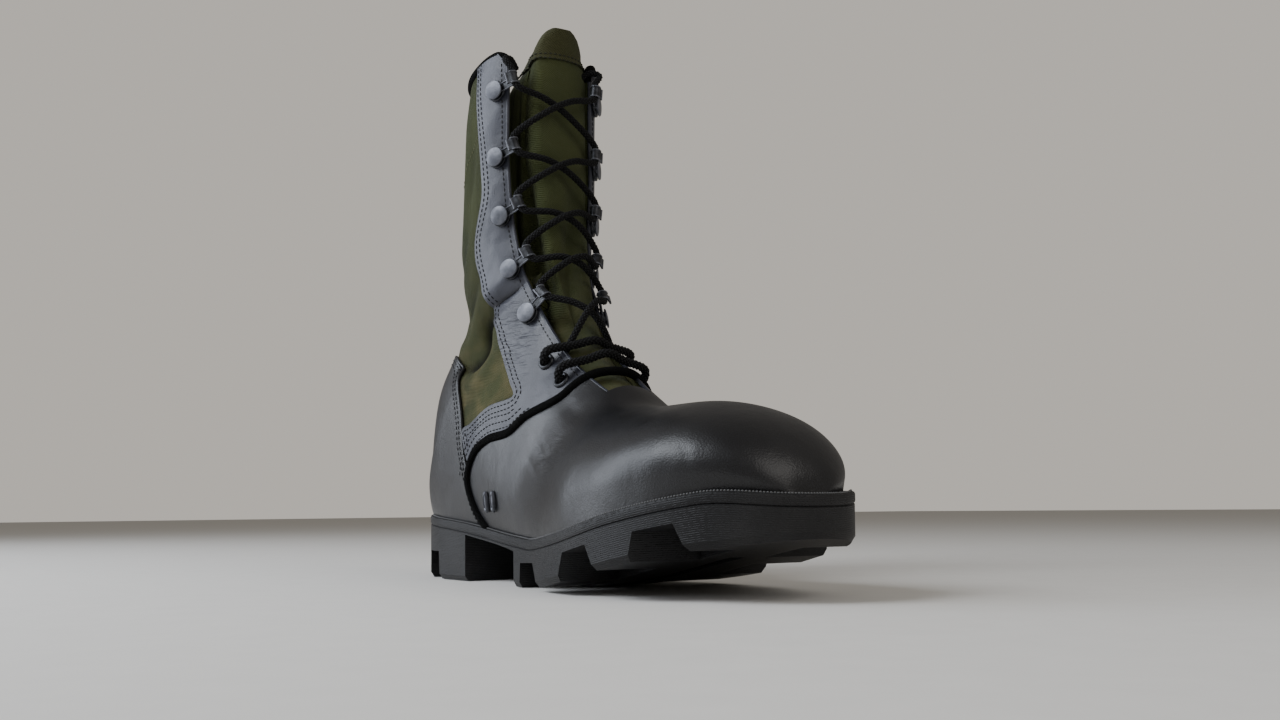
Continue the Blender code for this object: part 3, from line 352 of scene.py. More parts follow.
def rounded_values(knots: Points, values: Points, at: Points) -> Points:
    """Reads a Catmull-Rom curve through unevenly spaced values.

    Args:
        knots: Where the values lie, rising.
        values: The values.
        at: The places to read.

    Returns:
        The values there.
    """
    tangents = np.gradient(values, knots)
    span = np.clip(np.searchsorted(knots, at, side="right") - 1, 0, len(knots) - 2)
    step = knots[span + 1] - knots[span]
    share = (at - knots[span]) / step
    rise = values[span + 1] - values[span]
    first = tangents[span] * step
    last = tangents[span + 1] * step
    return values[span] + cubic_rise(share, rise, first, last)


def unit(vectors: Points) -> Points:
    """Vectors of length one, along the last axis."""
    return vectors / np.maximum(np.linalg.norm(vectors, axis=-1, keepdims=True), 1e-12)


@dataclass(frozen=True)
class Lattice:
    """A fine lattice of the upper, with its normals and the place of the throat in it."""

    points: Points
    normals: Points
    first_open: int
    side_columns: int
    throat_columns: int
    folds: Points

    def lifted(self, height: float) -> Points:
        """The lattice moved out along its normals."""
        return self.points + height * self.normals

    def in_throat(self, cell: Cell) -> bool:
        """Whether a cell lies in the open throat."""
        return cell[0] >= self.first_open and 0 <= cell[1] - self.side_columns < self.throat_columns

    def edge_column(self, side: Side) -> int:
        """The column of the throat's edge on one side."""
        return self.side_columns if side is Side.MEDIAL else self.side_columns + self.throat_columns


@dataclass
class BootForm:
    """The boot's form: the sole's outline and profile and the upper's sections."""

    size: BootSizes
    outline_steps: int = 960
    arc_steps: int = 160
    hollow_fade: float = 0.2
    throat_start: int = 7
    sections_per_row: int = 12
    side_columns: int = 74
    throat_columns: int = 16
    sunk: float = 0.0006
    lattice: Lattice = field(init=False)

    def __post_init__(self) -> None:
        """Works out the lattice once."""
        self._halves: dict[float, list[Points]] = {}
        points = np.array([self._section_points(row) for row in self._section_rows()])
        normals = self._normals(points)
        folds = self._crease_depths(points)
        points = points - folds[:, :, None] * normals
        self.lattice = Lattice(
            points,
            self._normals(points),
            self.throat_start * self.sections_per_row,
            self.side_columns,
            self.throat_columns,
            folds,
        )

    def along_to_y(self, along: float | Points) -> float | Points:
        """The row frame's Y of a place along the sole."""
        return self.size.sole_length * (0.5 - np.asarray(along))

    def sole_lift(self, along: float | Points) -> Points:
        """The tread's height above the floor at a place along the sole."""
        places, lifts, _ = zip(*SOLE_PROFILE)
        return self.size.toe_spring * smooth_values(places, lifts, np.asarray(along))

    def sole_top(self, along: float | Points) -> Points:
        """The height of the sole's ledge at a place along it."""
        places, _, thicks = zip(*SOLE_PROFILE)
        thickness = smooth_values(places, thicks, np.asarray(along))
        return self.sole_lift(along) + self.size.heel_height * thickness

    def outline_sides(self, inset: float) -> list[Points]:
        """The sole's outline moved inwards.

        Args:
            inset: How far inwards.

        Returns:
            The inner and the outer side as (along, across) points, from heel to toe.
        """
        if inset in self._halves:
            return self._halves[inset]
        length, width = self.size.sole_length, self.size.ball_width
        inner = [(length * along, -width * inside) for along, inside, _ in SOLE_OUTLINE]
        outer = [(length * along, width * outside) for along, _, outside in SOLE_OUTLINE[1:-1]]
        inner[-1] = (inner[-1][0], 0.0)
        corners = np.roll(np.array(inner + outer[::-1]), -len(inner) // 2, axis=0)
        chain = np.vstack([corners, corners[:4]])
        lengths = np.concatenate([[0.0], np.cumsum(np.sqrt(np.linalg.norm(np.diff(chain, axis=0), axis=1)))])
        period = lengths[len(corners)]
        knots = np.concatenate([lengths - period, lengths, lengths + period])
        wrapped = np.concatenate([chain, chain, chain])
        order = np.argsort(knots, kind="stable")
        keep = np.concatenate([[True], np.diff(knots[order]) > period * 1e-6])
        knots = knots[order][keep]
        wrapped = wrapped[order][keep]
        at = np.linspace(0.0, period, self.outline_steps, endpoint=False)
        fine = np.column_stack([rounded_values(knots, wrapped[:, axis], at) for axis in range(2)])
        ahead = np.roll(fine, -1, axis=0) - np.roll(fine, 1, axis=0)
        outward = unit(np.column_stack([ahead[:, 1], -ahead[:, 0]]))
        if np.mean(np.sum((fine - fine.mean(axis=0)) * outward, axis=1)) < 0:
            outward = -outward
        fine = fine - inset * outward
        fine = np.roll(fine, -int(np.argmin(fine[:, 0])), axis=0)
        toe = int(np.argmax(fine[:, 0]))
        halves = [fine[: toe + 1], np.vstack([fine[toe:], fine[:1]])[::-1]]
        halves.sort(key=lambda half: half[:, 1].mean())
        self._halves[inset] = halves
        return halves

    def ledge_widths(self, along: float | Points, inset: float) -> list[Points]:
        """Where the inset outline lies to the inner and outer side at a place along the sole.

        Args:
            along: Places along the sole, as shares of its length.
            inset: How far inside the sole's outline, in metres.

        Returns:
            The places across of the inner and the outer side, in metres.
        """
        widths = []
        for half in self.outline_sides(inset):
            places = np.maximum.accumulate(half[:, 0])
            widths.append(np.interp(self.size.sole_length * np.asarray(along, float), places, half[:, 1]))
        return widths

    def sole_ring(self, inset: float, height: Callable[[Points], Points], stations: int) -> Points:
        """Points round the sole at one level: heel, inner side, toe, outer side.

        Args:
            inset: How far inside the sole's outline, in metres.
            height: Gives the level at places along the sole.
            stations: How many steps a side takes.

        Returns:
            The ring's points in order.
        """
        halves = self.outline_sides(inset)
        start = max(halves[0][0, 0], halves[1][0, 0])
        end = min(halves[0][-1, 0], halves[1][-1, 0])
        shares = 0.5 * (1 - np.cos(np.pi * np.arange(stations + 1) / stations))
        places = (start + (end - start) * shares) / self.size.sole_length
        inner, outer = self.ledge_widths(places, inset)
        levels = height(places)
        sides = [np.column_stack([across, self.along_to_y(places), levels]) for across in (inner, outer)]
        for side in sides:
            side[0, 0] = 0.5 * (inner[0] + outer[0])
            side[-1, 0] = 0.5 * (inner[-1] + outer[-1])
        return np.vstack([sides[0], sides[1][-2:0:-1]])

    def _section_rows(self) -> list[Section]:
        """The section table read at even steps.

        Returns:
            One section for each row of the lattice.
        """
        steps = np.arange(len(UPPER_SECTIONS), dtype=float)
        at = np.linspace(0.0, steps[-1], self.sections_per_row * (len(UPPER_SECTIONS) - 1) + 1)
        names = list(Section.__dataclass_fields__)
        tables = {name: [getattr(row, name) for row in UPPER_SECTIONS] for name in names}
        columns = {name: smooth_values(steps, table, at) for name, table in tables.items()}
        return [Section(**{name: float(columns[name][i]) for name in names}) for i in range(len(at))]

    def _ledge_inset(self, along: float) -> float:
        """How far inside the sole's outline the upper stands: further round the toe."""
        forward = float(np.clip((along - 0.6) / 0.4, 0.0, 1.0))
        return round(self.size.sole_ledge + (self.size.toe_ledge - self.size.sole_ledge) * forward, 5)

    def _arc_of(self, row: Section, side: Side) -> Points:
        """One side of a section, from the top point down to the edge, as closely spaced points.

        Args:
            row: The section.
            side: The boot's inner or outer side.

        Returns:
            The side's points in the boot's frame.
        """
        size = self.size
        sign = side.value
        down = 0.5 * (1 - np.cos(np.pi * np.linspace(0.0, 1.0, self.arc_steps)))
        foot = 0.0
        if row.rise <= 0.0:
            widths = self.ledge_widths(row.edge_along, self._ledge_inset(row.edge_along))
            foot = abs(float(widths[0 if side is Side.MEDIAL else 1]))
        width = max(foot, size.ball_width * (row.width_in if side is Side.MEDIAL else row.width_out))
        upper_share = np.clip(down / row.wide_at, 0.0, 1.0)
        lower_share = np.clip((down - row.wide_at) / (1 - row.wide_at), 0.0, 1.0)
        crown = width * (1 - (1 - upper_share) ** row.crown) ** (1 / row.crown)
        tucked = foot + (width - foot) * (1 - lower_share**row.side) ** (1 / row.tuck)
        across = sign * np.where(down < row.wide_at, crown, tucked)
        edge_height = float(self.sole_top(row.edge_along)) - self.sunk + size.boot_height * row.rise
        top_height = max(size.boot_height * row.top_height, edge_height)
        top_y = float(self.along_to_y(row.top_along))
        y = top_y + down * (float(self.along_to_y(row.edge_along)) - top_y)
        z = top_height + down * (edge_height - top_height)
        off_seam = np.clip(np.abs(across) / (size.ball_width * self.hollow_fade), 0.0, 1.0)
        for hollow in HOLLOWS:
            if hollow.side is side:
                middle = (y - self.along_to_y(hollow.along)) / (size.sole_length * hollow.spread)
                level = (z - size.boot_height * hollow.height) / (size.boot_height * hollow.rise)
                dent = size.ball_width * hollow.depth * np.exp(-(middle**2) - level**2)
                across = across - sign * off_seam * dent
        return np.column_stack([across, y, z])

    def _section_points(self, row: Section) -> Points:
        """A whole section, from the inner edge over the top to the outer edge.

        Args:
            row: The section.

        Returns:
            The section's points, in order.
        """
        halves = []
        for side in Side:
            arc = self._arc_of(row, side)
            steps = np.concatenate([[0.0], np.cumsum(np.linalg.norm(np.diff(arc, axis=0), axis=1))])
            rising = np.maximum.accumulate(np.abs(arc[:, 0]))
            split = float(np.interp(self.size.ball_width * row.throat, rising, steps))
            split = min(split, 0.4 * steps[-1])
            over = np.linspace(0.0, split, self.throat_columns // 2 + 1)
            down = np.linspace(split, steps[-1], self.side_columns + 1)[1:]
            at = np.concatenate([over, down])
            halves.append(np.column_stack([np.interp(at, steps, arc[:, axis]) for axis in range(3)]))
        return np.vstack([halves[0][:0:-1], halves[1]])

    def _normals(self, points: Points) -> Points:
        """Unit normals of the lattice, pointing out of the boot.

        Args:
            points: The points of the lattice.

        Returns:
            One unit normal for each point.
        """
        normals = unit(np.cross(np.gradient(points, axis=1), np.gradient(points, axis=0)))
        normals[0] = np.array([0.0, -1.0, 0.0])
        shut = np.linalg.norm(points[:, 0] - points[:, -1], axis=1) < 1e-4
        seam = unit(normals[:, 0] + normals[:, -1])
        normals[shut, 0] = seam[shut]
        normals[shut, -1] = seam[shut]
        return normals

    def _crease_depths(self, points: Points) -> Points:
        """How deep the listed creases are at each point.

        Args:
            points: The points of the lattice.

        Returns:
            One depth in metres for each point.
        """
        depths = np.zeros(points.shape[:2])
        for crease in CREASES:
            line = np.array([(0.5 * self.size.sole_length - p * MM, z * MM) for p, z in crease.line])
            line = smooth_line(line, 2.0 * MM)
            flat = points[:, :, 1:].reshape(-1, 2)
            nearest = np.full(len(flat), np.inf)
            share = np.zeros(len(flat))
            for i, spot in enumerate(line):
                away = np.sum((flat - spot) ** 2, axis=1)
                closer = away < nearest
                nearest = np.where(closer, away, nearest)
                share = np.where(closer, i / (len(line) - 1), share)
            fade = np.sin(np.pi * np.clip(0.08 + 0.84 * share, 0.0, 1.0)) ** 0.7
            dent = crease.depth * fade * np.exp(-nearest / crease.width**2)
            same_side = points[:, :, 0].reshape(-1) * crease.side.value > 0
            depths += np.where(same_side, dent, 0.0).reshape(depths.shape)
        return depths


def smooth_line(points: Points, pitch: float) -> Points:
    """A smooth line through flat or solid points, with even spacing.

    Args:
        points: The points to pass through.
        pitch: The wanted spacing.

    Returns:
        The finer points.
    """
    knots = np.concatenate([[0.0], np.cumsum(np.sqrt(np.linalg.norm(np.diff(points, axis=0), axis=1)))])
    at = np.linspace(0.0, knots[-1], 24 * len(points))
    fine = np.column_stack([rounded_values(knots, points[:, axis], at) for axis in range(points.shape[1])])
    run = np.concatenate([[0.0], np.cumsum(np.linalg.norm(np.diff(fine, axis=0), axis=1))])
    even = np.linspace(0.0, run[-1], max(2, int(run[-1] / pitch) + 1))
    return np.column_stack([np.interp(even, run, fine[:, axis]) for axis in range(points.shape[1])])


@dataclass(frozen=True)
class SideView:
    """Finds places on the upper from the side view, on either side of the boot."""

    form: BootForm
    tree: BVHTree
    far: float = 0.2

    @classmethod
    def of(cls, form: BootForm) -> "SideView":
        """The finder for a form's lattice."""
        grid = form.lattice.points
        points, faces = grid_faces(grid, all_cells(grid))
        return cls(form, BVHTree.FromPolygons([tuple(p) for p in points], faces))

    def outline(self, edge: Pairs, move: float = 0.0) -> Points:
        """A panel's edge as (y, z), moved towards the heel and the top by a distance.

        Args:
            edge: The edge's marks in the side view.
            move: The distance, in metres.

        Returns:
            The smoothed line as (y, z) points.
        """
        size = self.form.size
        corners = np.array([(float(self.form.along_to_y(a)), size.boot_height * h) for a, h in edge])
        line = smooth_line(corners, 1.5 * MM)
        ahead = np.gradient(line, axis=0)
        return line + move * unit(np.column_stack([-ahead[:, 1], ahead[:, 0]]))

    def spot(self, side: Side, y: float, z: float, lift: float) -> Vector | None:
        """The place on the upper at a side-view place, lifted off it, or None beside the boot.

        Args:
            side: The boot's inner or outer side.
            y: The place along the boot.
            z: The height.
            lift: How far off the surface, in metres.

        Returns:
            The place, or None where the upper isn't behind it.
        """
        start, ahead = Vector((side.value * self.far, y, z)), Vector((-side.value, 0, 0))
        found, normal, _, _ = self.tree.ray_cast(start, ahead)
        if found is None or found.x * side.value < MM:
            return None
        if normal.x * side.value < 0:
            normal = -normal
        return found + lift * normal

    def route(self, side: Side, line: Points, lift: float) -> Route:
        """The part of a side-view line that lies on the boot, as places in space."""
        spots = [self.spot(side, float(y), float(z), lift) for y, z in line]
        return [spot for spot in spots if spot is not None]


def all_cells(grid: Points) -> list[Cell]:
    """Every cell of a grid of points, as its row and column."""
    return [(row, place) for row in range(grid.shape[0] - 1) for place in range(grid.shape[1] - 1)]


def cell_corners(cell: Cell) -> tuple[Cell, Cell, Cell, Cell]:
    """The four corners of a cell, in order round it."""
    row, place = cell
    return (row, place), (row, place + 1), (row + 1, place + 1), (row + 1, place)


def grid_faces(grid: Points, cells: Sequence[Cell]) -> tuple[Points, Faces]:
    """Points and faces of some cells of a grid.

    Args:
        grid: The grid of points, or of any three values.
        cells: The wanted cells.

    Returns:
        The points that they use, and the faces between these.
    """
    columns = grid.shape[1]
    faces = [tuple(row * columns + place for row, place in cell_corners(cell)) for cell in cells]
    used = sorted({corner for face in faces for corner in face})
    new_index = {old: new for new, old in enumerate(used)}
    return grid.reshape(-1, 3)[used], [tuple(new_index[corner] for corner in face) for face in faces]


def lay_map(made: Piece, grid: Points, cells: Sequence[Cell]) -> None:
    """Lays a UV map in metres over a sheet: across it from its middle column, and up it.

    Args:
        made: The sheet, with one face to a cell.
        grid: The whole grid that it was made from.
        cells: Its cells, in the order of its faces.
    """
    rows, columns = grid.shape[:2]
    across = np.cumsum(np.linalg.norm(np.diff(grid, axis=1), axis=2), axis=1)
    far = np.concatenate([np.zeros((rows, 1)), across], axis=1)
    far -= far[:, columns // 2][:, None]
    rise = np.cumsum(np.linalg.norm(np.diff(grid, axis=0), axis=2), axis=0)
    up = np.concatenate([np.zeros((1, columns)), rise], axis=0)
    layer = made.data.uv_layers.new(name="UVMap")
    for face, cell in zip(made.data.polygons, cells):
        for loop, corner in zip(face.loop_indices, cell_corners(cell)):
            layer.data[loop].uv = (far[corner], up[corner])


class Maker:
    """Makes, joins and cuts meshes."""

    @staticmethod
    def piece(name: str, points: Points, faces: Faces, merge: float = 0.0) -> Piece:
        """A new object from points and faces, its doubles merged where a distance is given.

        Args:
            name: The new object's name.
            points: The corners.
            faces: The faces, as indices into the points.
            merge: The distance under which doubles are merged, or zero.

        Returns:
            The new object, linked to the scene.
        """
        mesh = bpy.data.meshes.new(name)
        mesh.from_pydata([tuple(point) for point in points], [], faces)
        if merge:
            shape = bmesh.new()
            shape.from_mesh(mesh)
            bmesh.ops.remove_doubles(shape, verts=shape.verts, dist=merge)
            bmesh.ops.dissolve_degenerate(shape, edges=shape.edges, dist=merge)
            shape.to_mesh(mesh)
            shape.free()
        made = bpy.data.objects.new(name, mesh)
        bpy.context.scene.collection.objects.link(made)
        return made

    @staticmethod
    def bake(made: Piece) -> Piece:
        """Replaces an object's mesh by its evaluated one and removes its modifiers.

        Args:
            made: The object, which is changed in place.

        Returns:
            The same object.
        """
        graph = bpy.context.evaluated_depsgraph_get()
        mesh = bpy.data.meshes.new_from_object(made.evaluated_get(graph))
        made.modifiers.clear()
        if made.type == "MESH":
            made.data = mesh
            return made
        name = made.name
        bpy.data.objects.remove(made, do_unlink=True)
        plain = bpy.data.objects.new(name, mesh)
        bpy.context.scene.collection.objects.link(plain)
        return plain

    @staticmethod
    def thicken(made: Piece, thickness: float, outward: bool) -> None:
        """Gives a sheet its thickness on one side.

        Args:
            made: The object, which is changed in place.
            thickness: The thickness in metres.
            outward: Whether the sheet grows outwards.
        """
        step = made.modifiers.new("wall", "SOLIDIFY")
        step.thickness = thickness
        step.offset = 1.0 if outward else -1.0
        step.use_rim = True

    @staticmethod
    def cut(made: Piece, cutter: Piece, operation: str) -> None:
        """Adds a Boolean with a cutter.

        Args:
            made: The object, which is changed in place.
            cutter: The cutter.
            operation: The kind of Boolean.
        """
        step = made.modifiers.new(cutter.name, "BOOLEAN")
        step.operation = operation
        step.object = cutter
        step.solver = "MANIFOLD"

    @staticmethod
    def prism(name: str, outline: Points, across: tuple[float, float]) -> Piece:
        """A closed prism with a side-view outline, between two places across.

        Args:
            name: The new object's name.
            outline: The outline as (y, z) points.
            across: The two places across.

        Returns:
            The new object.
        """
        count = len(outline)
        points = np.array([(x, y, z) for x in across for y, z in outline])
        faces = [tuple(range(count)), tuple(range(2 * count - 1, count - 1, -1))]
        faces += [(i, i + count, (i + 1) % count + count, (i + 1) % count) for i in range(count)]
        made = Maker.piece(name, points, faces)
        Maker.face_out(made)
        return made

    @staticmethod
    def face_out(made: Piece) -> None:
        """Turns a closed mesh's normals outwards.

        Args:
            made: The object, which is changed in place.
        """
        shape = bmesh.new()
        shape.from_mesh(made.data)
        bmesh.ops.recalc_face_normals(shape, faces=shape.faces)
        shape.to_mesh(made.data)
        shape.free()

    @staticmethod
    def join(name: str, pieces: Sequence[Piece]) -> Piece:
        """One object from the meshes of several, which are removed.

        Args:
            name: The new object's name.
            pieces: The objects.

        Returns:
            The new object.
        """
        shape = bmesh.new()
        for piece in pieces:
            piece.data.transform(piece.matrix_world)
            shape.from_mesh(piece.data)
        mesh = bpy.data.meshes.new(name)
        for layer in ("UVMap",):
            if any(layer in piece.data.uv_layers for piece in pieces) and not shape.loops.layers.uv:
                shape.loops.layers.uv.new(layer)
        shape.to_mesh(mesh)
        shape.free()
        for piece in pieces:
            bpy.data.objects.remove(piece, do_unlink=True)
        made = bpy.data.objects.new(name, mesh)
        bpy.context.scene.collection.objects.link(made)
        return made

    @staticmethod
    def turned(name: str, profile: Pairs, steps: int) -> Piece:
        """A closed solid turned round Z from (radius, height) points; a ring where none is on the axis.

        Args:
            name: The new object's name.
            profile: The profile, in order.
            steps: How many steps a turn takes.

        Returns:
            The new object.
        """
        count = len(profile)
        points = []
        for step in range(steps):
            turn = 2 * math.pi * step / steps
            points += [(r * math.cos(turn), r * math.sin(turn), z) for r, z in profile]
        faces = []
        last = count - 1 if profile[0][0] == 0 else count
        for step in range(steps):
            here, there = step * count, (step + 1) % steps * count
            for spot in range(last):
                following = (spot + 1) % count
                faces.append((here + spot, here + following, there + following, there + spot))
        made = Maker.piece(name, np.array(points), faces, merge=1e-6)
        Maker.face_out(made)
        return made

    @staticmethod
    def tube(name: str, path: Sequence[Vector], radius: float, sides: int = 10) -> Piece:
        """A round tube along a path, with closed ends and a UV map in metres along and turns round.

        Args:
            name: The new object's name.
            path: The points of the tube's middle line.
            radius: The tube's radius.
            sides: How many sides it has.

        Returns:
            The new object.
        """
        spots = [Vector(spot) for spot in path]
        ends = list(zip([spots[0], *spots], [*spots[1:], spots[-1]]))
        ahead = [(after - before).normalized() for before, after in ends]
        over = ahead[0].orthogonal().normalized()
        points, lengths, run = [], [], 0.0
        for i, spot in enumerate(spots):
            run += (spot - spots[i - 1]).length if i else 0.0
            lengths.append(run)
            over = (over - over.dot(ahead[i]) * ahead[i]).normalized()
            across = ahead[i].cross(over)
            for step in range(sides):
                turn = 2 * math.pi * step / sides
                points.append(spot + radius * (math.cos(turn) * over + math.sin(turn) * across))
        faces = []
        for i in range(len(spots) - 1):
            for step in range(sides):
                following = (step + 1) % sides
                low, high = i * sides, (i + 1) * sides
                faces.append((low + step, low + following, high + following, high + step))
        faces += [tuple(range(sides))[::-1], tuple((len(spots) - 1) * sides + i for i in range(sides))]
        made = Maker.piece(name, np.array(points), faces)
        layer = made.data.uv_layers.new(name="UVMap")
        for face in made.data.polygons[:-2]:
            i, step = divmod(face.index, sides)
            corners = ((i, step), (i, step + 1), (i + 1, step + 1), (i + 1, step))
            for loop, (at, turn) in zip(face.loop_indices, corners):
                layer.data[loop].uv = (lengths[at], turn / sides)
        return made

    @staticmethod
    def smooth(made: Piece, degrees: float = 35.0) -> None:
        """Shades a piece smooth, with its real edges sharp."""
        made.data.shade_smooth()
        made.data.set_sharp_from_angle(angle=math.radians(degrees))


def finish_piece(
    made: Piece, material: bpy.types.Material | None, replaces: Sequence[str] = ()
) -> Piece:
    """Dresses a piece, puts it on the boot's body and hides the solids that it stands for.

    Args:
        made: The piece.
        material: Its material, or None where its faces already have theirs.
        replaces: The CAD nodes that it replaces.

    Returns:
        The piece.
    """
    if material:
        made.data.materials.clear()
        made.data.materials.append(material)
    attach(made, "root")
    if replaces:
        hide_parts(*replaces)
    log.info("%s: %d faces", made.name, len(made.data.polygons))
    return made


Colour = tuple[float, float, float]
Spot = tuple[float, float, float]
Socket = bpy.types.NodeSocket


NodeValues = dict[str | int, object]


def add_node(
    tree: bpy.types.NodeTree, kind: str, values: NodeValues, settings: dict[str, object]
) -> bpy.types.Node:
    """A new node with its settings, and values or links for its inputs.

    Args:
        tree: The tree it is added to.
        kind: The node's type.
        values: Values, or sockets to link from, by the inputs' names.
        settings: The node's own settings by name.

    Returns:
        The new node.
    """
    node = tree.nodes.new(kind)
    for name, value in settings.items():
        setattr(node, name, value)
    for name, value in values.items():
        if isinstance(value, Socket):
            tree.links.new(value, node.inputs[name])
        else:
            node.inputs[name].default_value = value
    return node


class Shade:
    """Builds the nodes of one material."""

    def __init__(
        self, name: str, colour: Colour, roughness: float, metallic: float = 0.0, coat: float = 0.0
    ) -> None:
        """Starts a material with its even values on the shader's own sockets.

        Args:
            name: The material's name.
            colour: The even colour.
            roughness: The even roughness.
            metallic: Zero for a plain surface, one for bare metal.
            coat: The weight of a clear coat.
        """
        self.material = bpy.data.materials.new(name)
        self.material.use_nodes = True
        self.tree = self.material.node_tree
        self.shader = self.tree.nodes["Principled BSDF"]
        inputs = self.shader.inputs
        inputs["Base Color"].default_value = (*colour, 1.0)
        inputs["Roughness"].default_value = roughness
        inputs["Metallic"].default_value = metallic
        inputs["Coat Weight"].default_value = coat
        inputs["Coat Roughness"].default_value = 0.35
        places = self.add("ShaderNodeTexCoord")
        self.place = places.outputs["Object"]
        self.along = places.outputs["UV"]
        self.material.diffuse_color = (*colour, 1.0)

    def add(self, kind: str, values: NodeValues | None = None, **settings: object) -> bpy.types.Node:
        """A new node of this material."""
        return add_node(self.tree, kind, values or {}, settings)

    def sum(self, operation: str, first: object, second: object = 0.0) -> Socket:
        """One step of arithmetic."""
        return self.add("ShaderNodeMath", {0: first, 1: second}, operation=operation).outputs[0]

    def noise(self, scale: float, detail: float = 3.0, place: Socket | None = None) -> Socket:
        """A cloudy value from 0 to 1."""
        inputs = {"Vector": place or self.place, "Scale": scale, "Detail": detail}
        return self.add("ShaderNodeTexNoise", inputs).outputs[0]

    def grain(self, scale: float) -> Socket:
        """The distance to the nearest of many cell centres."""
        return self.add("ShaderNodeTexVoronoi", {"Vector": self.place, "Scale": scale}).outputs["Distance"]

    def remap(self, value: Socket, start: float, end: float, low: float, high: float) -> Socket:
        """A value moved from one range to another."""
        inputs = {"Value": value, "From Min": start, "From Max": end, "To Min": low, "To Max": high}
        return self.add("ShaderNodeMapRange", inputs).outputs[0]

    def mix(self, share: Socket, first: object, second: object) -> Socket:
        """A colour between two others."""
        inputs = {0: share, 6: as_colour(first), 7: as_colour(second)}
        return self.add("ShaderNodeMix", inputs, data_type="RGBA").outputs[2]

    def bump(self, *layers: tuple[Socket, float]) -> None:
        """Raises the surface by several heights, each with its depth in metres.

        Args:
            *layers: Pairs of a height socket and its depth.
        """
        normal: Socket | None = None
        for height, depth in layers:
            inputs: dict[str | int, object] = {"Height": height, "Distance": depth, "Strength": 1.0}
            if normal:
                inputs["Normal"] = normal
            normal = self.add("ShaderNodeBump", inputs).outputs["Normal"]
        self.feed("Normal", normal)

    def feed(self, name: str, value: Socket) -> None:
        """Links a value to one of the shader's sockets."""
        self.tree.links.new(value, self.shader.inputs[name])


def as_colour(value: object) -> object:
    """A colour with its alpha, or the socket as it is."""
    return value if isinstance(value, Socket) else (*value, 1.0)


@dataclass(frozen=True)
class LeatherFinish:
    """Smooth black leather under a worn satin polish, with painted shade in its creases."""

    name: str = "black_leather"
    colour: Colour = (0.006, 0.006, 0.0075)
    worn: Colour = (0.016, 0.016, 0.019)
    roughness: float = 0.37
    coat: float = 0.06
    grain: float = 1300.0
    depth: float = 0.00005
    pressed: Colour = (0.003, 0.003, 0.004)
    wrinkled: Spot = (-0.050, -0.010, 0.057)
    reach: float = 0.026
    wrinkle_depth: float = 0.0008
    swell: float = 0.0004

    def material(self) -> bpy.types.Material:
        """The leather's material.

        Returns:
            The material.
        """
        shade = Shade(self.name, self.colour, self.roughness, coat=self.coat)
        cloud = shade.noise(14.0, 4.0)
        rubbed = shade.remap(cloud, 0.50, 0.74, 0.0, 0.40)
        flecks = shade.remap(shade.noise(420.0, 2.0), 0.66, 0.74, 0.0, 0.35)
        colour = shade.mix(rubbed, self.colour, self.worn)
        colour = shade.mix(flecks, colour, self.worn)
        # Painted shade: the colour darkens where the upper is creased, by the stored fold depth.
        fold = shade.add("ShaderNodeAttribute", attribute_name="fold").outputs["Fac"]
        pressed = shade.remap(fold, 0.0010, 0.0030, 0.0, 0.75)
        shade.feed("Base Color", shade.mix(pressed, colour, self.pressed))
        streak = shade.noise(60.0, 5.0)
        shade.feed("Roughness", shade.remap(streak, 0.3, 0.7, self.roughness - 0.04, self.roughness + 0.06))
        apart = shade.add("ShaderNodeVectorMath", {0: shade.place, 1: self.wrinkled}, operation="DISTANCE")
        near = shade.remap(apart.outputs["Value"], 0.35 * self.reach, self.reach, 1.0, 0.0)
        stretched = shade.add(
            "ShaderNodeVectorMath", {0: shade.place, 1: (60.0, 70.0, 430.0)}, operation="MULTIPLY"
        )
        lines = shade.noise(1.0, 2.0, stretched.outputs[0])
        folds = shade.sum("MULTIPLY", shade.sum("ABSOLUTE", shade.sum("SUBTRACT", lines, 0.5)), near)
        shade.bump(
            (shade.grain(self.grain), self.depth),
            (shade.noise(240.0, 3.0), 0.00012),
            (folds, self.wrinkle_depth),
            (shade.noise(45.0, 2.0), self.swell),
        )
        return shade.material


@dataclass(frozen=True)
class RubberFinish:
    """Moulded rubber with a fine horizontal rib and grey dust low down."""

    name: str = "sole_rubber"
    colour: Colour = (0.008, 0.008, 0.009)
    dust: Colour = (0.042, 0.041, 0.041)
    roughness: float = 0.55
    specular: float = 0.32
    rib: float = 0.0008

    def material(self) -> bpy.types.Material:
        """The rubber's material.

        Returns:
            The material.
        """
        shade = Shade(self.name, self.colour, self.roughness)
        shade.shader.inputs["Specular IOR Level"].default_value = self.specular
        drop = shade.add("ShaderNodeAttribute", attribute_name="drop").outputs["Fac"]
        turns = shade.sum("MULTIPLY", drop, 2 * math.pi / self.rib)
        ribs = shade.sum("SINE", turns)
        broken = shade.remap(shade.noise(800.0, 2.0), 0.40, 0.62, 0.0, 1.0)
        knurl = shade.sum("MULTIPLY", ribs, broken)
        dusty = shade.remap(shade.noise(30.0, 6.0), 0.46, 0.80, 0.0, 0.60)
        fine = shade.remap(shade.noise(1500.0, 2.0), 0.35, 0.65, 0.35, 1.0)
        shade.feed("Base Color", shade.mix(shade.sum("MULTIPLY", dusty, fine), self.colour, self.dust))
        shade.bump((knurl, 0.00010), (shade.noise(900.0, 3.0), 0.00008))
        return shade.material


